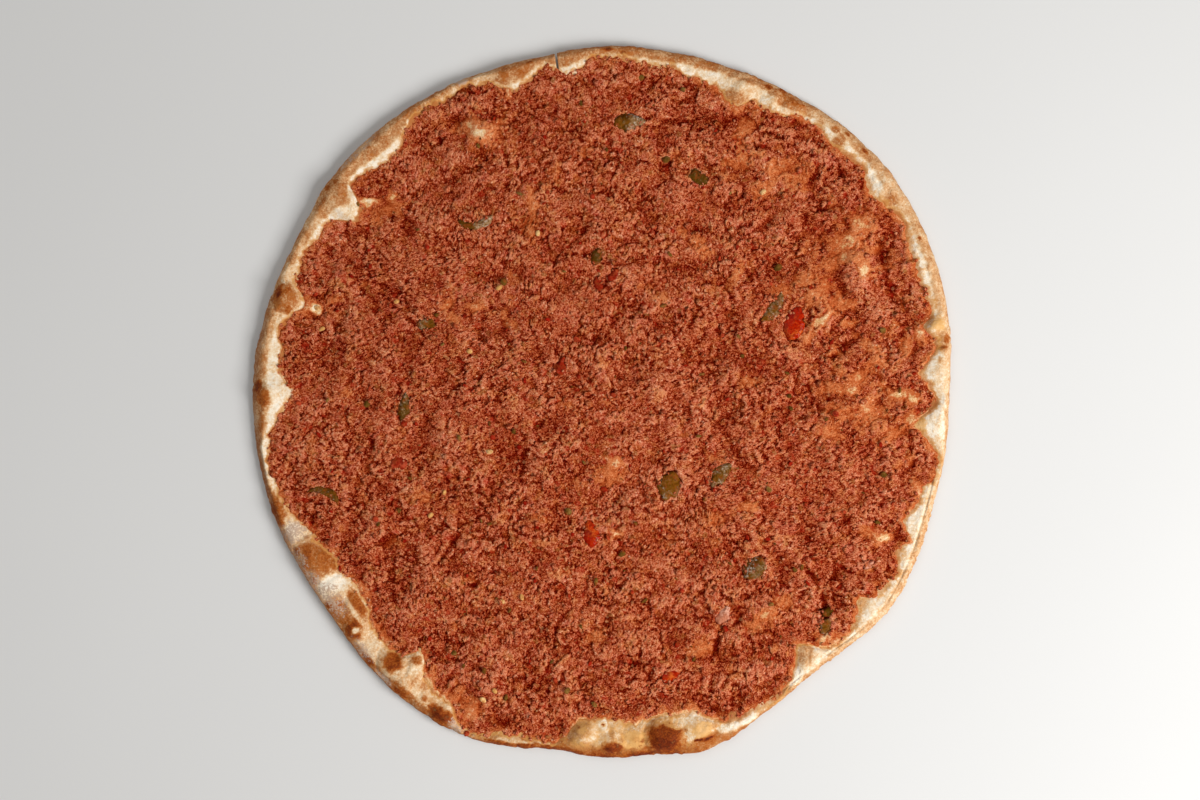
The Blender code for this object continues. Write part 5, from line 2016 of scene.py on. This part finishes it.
# How each chop looks: how pale, as paler flesh and painted highlight, and from which end, how
# green, how much skin and painted shade show on one side
LOOKS = {
    "green_pepper_1": (1.2, 1, 0.4, 0.9), "green_pepper_2": (0.1, 0, 0.9, 0.5),
    "green_pepper_3": (1.5, 1, 0.7, 0.2), "green_pepper_4": (0.2, 1, 1, 0.5),
    "green_pepper_5": (0.5, 0, 0.4, 0.2), "green_pepper_6": (0.45, -1, 0.25, 0.4),
    "green_pepper_7": (0.5, 0, 0.7, 0.3), "green_pepper_8": (0.6, 0, 0.8, 1.2),
    "green_pepper_9": (0.2, 0, 0.6, 0.5), "green_pepper_10": (0.3, 0, 0.9, 0.3),
    "green_pepper_11": (0.7, -1, 0.5, 0.2), "green_bit_1": (0.3, 0, 0.1, 0.3),
    "green_bit_2": (0.1, 0, 1, 0.6), "tomato_1": (0.6, -1, 0, 0.6),
    "tomato_2": (0.7, 1, 0, 0.5), "tomato_bit_1": (0.6, 0, 0, 0.1),
    "red_pepper_1": (0.1, 0, 0, 0.9), "red_pepper_2": (0.6, 0, 0, 0),
    "red_bit_1": (0.6, 1, 0, 0.7), "red_bit_2": (0.2, 0, 0, 0.8),
    "onion_1": (0.8, 1, 0, 0.1), "onion_bit_1": (0.4, 0, 0, 0.3),
}

# Smaller pieces that the meat carries besides the chips of the CAD source
SMALL_CHIPS = (
    ("green_bit_1", 98.3, -99, 7.4, 5.6, 60, 0, 0),
    ("green_bit_2", 99.6, -92.4, 5.4, 3.6, 30, 20, 0),
    ("red_bit_1", 5.1, 55.7, 6.2, 4.4, 60, 0, 0.1), ("red_bit_2", -1.5, 51.7, 7, 3.8, 100, 30, 0.1),
    ("tomato_bit_1", 30.6, -120.8, 8.4, 6, 20, 0, 0.1),
    ("onion_bit_1", 117.7, -71.9, 5.2, 3.6, 40, 0, 0),
)


@dataclass(frozen=True)
class Chip:
    """One chopped vegetable: a bent, crowned ribbon."""

    name: str
    x: float
    y: float
    length: float
    width: float
    turn: float
    bend: float
    taper: float
    level: float = 5.9
    half_height: float = 0.9
    slim_ends: tuple[float, float] = (0.84, 2.6)
    squareness: tuple[float, float] = (0.75, 0.7)
    stations: int = 30
    around: int = 24

    def middle(self, along: Array) -> tuple[Array, Array, Array]:
        """Trace the ribbon's middle line.

        Args:
            along: Places on it from -1 to 1.

        Returns:
            The two coordinates and the heading at each.
        """
        half_length, half_bend = 0.5 * self.length, math.radians(0.5 * self.bend)
        heading = along * half_bend
        if abs(half_bend) < 0.01:
            u, v = along * half_length, np.zeros_like(along)
        else:
            arc = half_length / half_bend
            u, v = arc * np.sin(heading), arc * (1.0 - np.cos(heading))
            v = v - arc * (1.0 - np.cos(np.linspace(-1, 1, 5) * half_bend)).mean()
        swing = math.radians(self.turn)
        x = self.x + u * math.cos(swing) - v * math.sin(swing)
        y = self.y + u * math.sin(swing) + v * math.cos(swing)
        return x, y, heading + swing

    def half_width(self, along: Array) -> Array:
        """Return the ribbon's half width at places from -1 to 1."""
        slim, power = self.slim_ends
        return 0.5 * self.width * (1.0 - slim * np.abs(along)**power) * (1.0 - self.taper * along)

    def distance(self, x: Array, y: Array) -> Array:
        """Measure how far points are from the ribbon's outline.

        Args:
            x: First coordinates.
            y: Second coordinates.

        Returns:
            The distance of each, below 0 inside the outline.
        """
        along = np.linspace(-1.0, 1.0, 9)
        middle_x, middle_y, _ = self.middle(along)
        half = self.half_width(along)
        gaps = np.hypot(x[:, None] - middle_x, y[:, None] - middle_y) - half
        return gaps.min(axis=1)

    def surface(self, along: Array, side: Array, rise: Array) -> Array:
        """Bend and swell the ribbon.

        Args:
            along: Places of its stations from -1 to 1.
            side: How far each corner of a section lies to the side, from -1 to 1.
            rise: How high it lies.

        Returns:
            The corners, station by station.
        """
        grain = Grain(sum(ord(letter) for letter in self.name))
        x, y, heading = (values[:, None] for values in self.middle(along))
        ends = np.sqrt(np.clip(1.0 - np.abs(along)**9, 0.02, 1.0))
        across = self.half_width(along)[:, None] * side
        x, y = x - np.sin(heading) * across, y + np.cos(heading) * across
        z = self.level + self.half_height * rise * ends[:, None] - 0.5 * side**2
        corners = np.stack([x, y, z], axis=2).reshape(-1, 3)
        swell = min(1.0, self.width / 6.0)
        swells = [
            swell * (grain.at(corners + shift, 4.2) + 0.55 * grain.at(corners + shift, 1.8))
            for shift in (0.0, 40.0)
        ]
        lift = 0.42 * grain.at(corners, 2.8) + 0.18 * grain.at(corners, 1.1)
        return corners + np.column_stack([*swells, lift])

    def build(self, stands_for: bool = True) -> bpy.types.Object:
        """Build and dress the chip.

        Args:
            stands_for: Whether it stands for the CAD node of its name.

        Returns:
            The piece.
        """
        kind = self.name.rsplit("_", 1)[0].replace("_bit", "")
        slot = {"green": "green_pepper", "red": "red_pepper"}.get(kind, kind)
        along = np.sin(np.linspace(-0.5 * math.pi, 0.5 * math.pi, self.stations))
        turn = np.linspace(0.0, 2.0 * math.pi, self.around, endpoint=False)
        side, rise = (
            np.sign(wave) * np.abs(wave)**power
            for wave, power in zip((np.cos(turn), np.sin(turn)), self.squareness)
        )
        corners = self.surface(along, side, rise)
        total = len(corners)
        numbers = np.arange(total).reshape(self.stations, self.around)
        faces = [band(*pair) for pair in zip(numbers[:-1], numbers[1:])]
        faces += [fan(numbers[0], total)[:, [1, 0, 2]], fan(numbers[-1], total + 1)]
        tips = [corners[ring].mean(axis=0) for ring in (numbers[0], numbers[-1])]
        pale, end, fresh, skin = LOOKS[self.name]
        places, sides = (grid.ravel() for grid in np.meshgrid(along, side, indexing="ij"))
        # The skin layer darkens one side: darker skin, and painted shade away from the light.
        layers = {
            "pale": pale * (smoothstep(0.5 + 0.8 * end * places) if end else np.ones(total)),
            "fresh": np.full(total, fresh),
            "skin": skin * smoothstep(0.35 + 0.9 * sides),
        }
        layers = {key: np.append(values, values[[0, -1]]) for key, values in layers.items()}
        points = np.concatenate([corners, tips])
        item = make_piece(f"{self.name}_chip", points, faces, dressed(slot), layers)
        return declare(item, slot, *([self.name] if stands_for else []))


CHOPPED = tuple(Chip(*row) for row in CHIPS + SMALL_CHIPS)

# Kinds of small bits: the kind, its places seen in the meat, and the spacing of scattered ones
BIT_KINDS = (
    (BitKind("green_flecks", "green_pepper", ChipFinish(
        "green_fleck_finish", (0.15, 0.070, 0.011), (0.08, 0.034, 0.005), (0.27, 0.14, 0.035),
        gloss=0.0), 2, (2.4, 4.2), (0.3, 0.5), (0.4, 0.9), sunk=0.12), GREEN_PLACES, 40.0),
    (BitKind("herb_flecks", "green_pepper", ChipFinish(
        "herb_fleck_finish", (0.17, 0.062, 0.010), (0.09, 0.032, 0.005), (0.27, 0.13, 0.035),
        gloss=0.0), 2, (0.8, 1.6), (0.3, 0.5), (0.3, 0.8)), (), 24.0),
    (BitKind("red_flecks", "red_pepper", ChipFinish(
        "red_fleck_finish", (0.34, 0.014, 0.005), (0.16, 0.004, 0.002), (0.50, 0.07, 0.025),
        gloss=0.0), 2, (1.4, 3.4), (0.35, 0.6), (0.5, 0.9)), RED_PLACES, 23.0),
    (BitKind("pale_flecks", "onion", ChipFinish(
        "pale_fleck_finish", (0.56, 0.17, 0.06), (0.42, 0.11, 0.04), (0.70, 0.29, 0.12),
        gloss=0.0), 2, (0.8, 1.6), (0.4, 0.6), (0.5, 0.9)), (), 27.0),
    (BitKind("pepper_seeds", "onion", ChipFinish(
        "seed_finish", (0.70, 0.36, 0.11), (0.55, 0.22, 0.05), (0.82, 0.52, 0.22), gloss=0.05),
        3, (2.4, 3.4), (0.4, 0.55), (0.66, 0.8), cuts=2, bite=0.9, tilt=20.0, sunk=0.3),
     SEED_PLACES, 0.0),
)


def dressed(kind: str) -> bpy.types.Material:
    """Return the finish of a kind of chip, made on its first use."""
    finish = FINISHES[kind]
    return bpy.data.materials.get(finish.name) or finish.material()


# Studio


@dataclass(frozen=True)
class AreaLight:
    """A square light that looks at the middle of the table: distance and size are in metres."""

    name: str
    bearing: float
    elevation: float
    distance: float
    size: float
    power: float

    def build(self) -> None:
        """Add the light to the scene."""
        light = bpy.data.lights.new(self.name, "AREA")
        light.energy = self.power
        light.size = self.size
        item = bpy.data.objects.new(self.name, light)
        turn, up = math.radians(self.bearing), math.radians(self.elevation)
        place = Vector((math.cos(turn) * math.cos(up), math.sin(turn) * math.cos(up), math.sin(up)))
        item.location = place * self.distance
        item.rotation_euler = place.to_track_quat("Z", "Y").to_euler()
        bpy.context.scene.collection.objects.link(item)


@dataclass
class Studio:
    """Floor, lights, and a camera that looks straight down."""

    frame_width: float = 528.0
    lens: float = 60.0
    sensor: float = 36.0
    middle: tuple[float, float] = (-0.66, 0.66)
    food_height: float = 5.0
    floor_reach: float = 3000.0
    floor_drop: float = 0.1
    lights: tuple[AreaLight, ...] = (
        AreaLight("key", -28.0, 43.0, 1.2, 0.62, 15.0),
        AreaLight("fill", 130.0, 70.0, 1.5, 1.2, 4.5),
    )
    sky: float = 0.22

    def build(self) -> None:
        """Build the studio."""
        scene = bpy.context.scene
        corners = np.array([[-1.0, -1.0, 0.0], [1.0, -1.0, 0.0], [1.0, 1.0, 0.0], [-1.0, 1.0, 0.0]])
        corners = corners * self.floor_reach - np.array([0.0, 0.0, self.floor_drop])
        make_piece("floor", corners, [np.array([[0, 1, 2, 3]])], FloorFinish().material())
        for light in self.lights:
            light.build()
        world = bpy.data.worlds.new("studio_air")
        world.use_nodes = True
        air = world.node_tree.nodes["Background"]
        air.inputs[0].default_value = (1.0, 0.98, 0.96, 1.0)
        air.inputs[1].default_value = self.sky
        scene.world = world
        scene.view_settings.view_transform = "Standard"
        lens = bpy.data.cameras.new("camera")
        lens.lens = self.lens
        lens.sensor_width = self.sensor
        camera = bpy.data.objects.new("camera", lens)
        height = self.frame_width * self.lens / self.sensor + self.food_height
        camera.location = Vector((*self.middle, height)) * MM
        scene.collection.objects.link(camera)
        scene.camera = camera


def main() -> None:
    """Build the lahmacun from the bread up, and the studio round it."""
    logging.basicConfig(level=logging.INFO, format="%(name)s %(message)s")
    Crust().build()
    mince = Mince()
    mince.build()
    Scatter(mince).build()
    for chip in CHIPS:
        Chip(*chip).build()
    for chip in SMALL_CHIPS:
        Chip(*chip).build(stands_for=False)
    Studio().build()


if __name__ == "__main__":
    main()
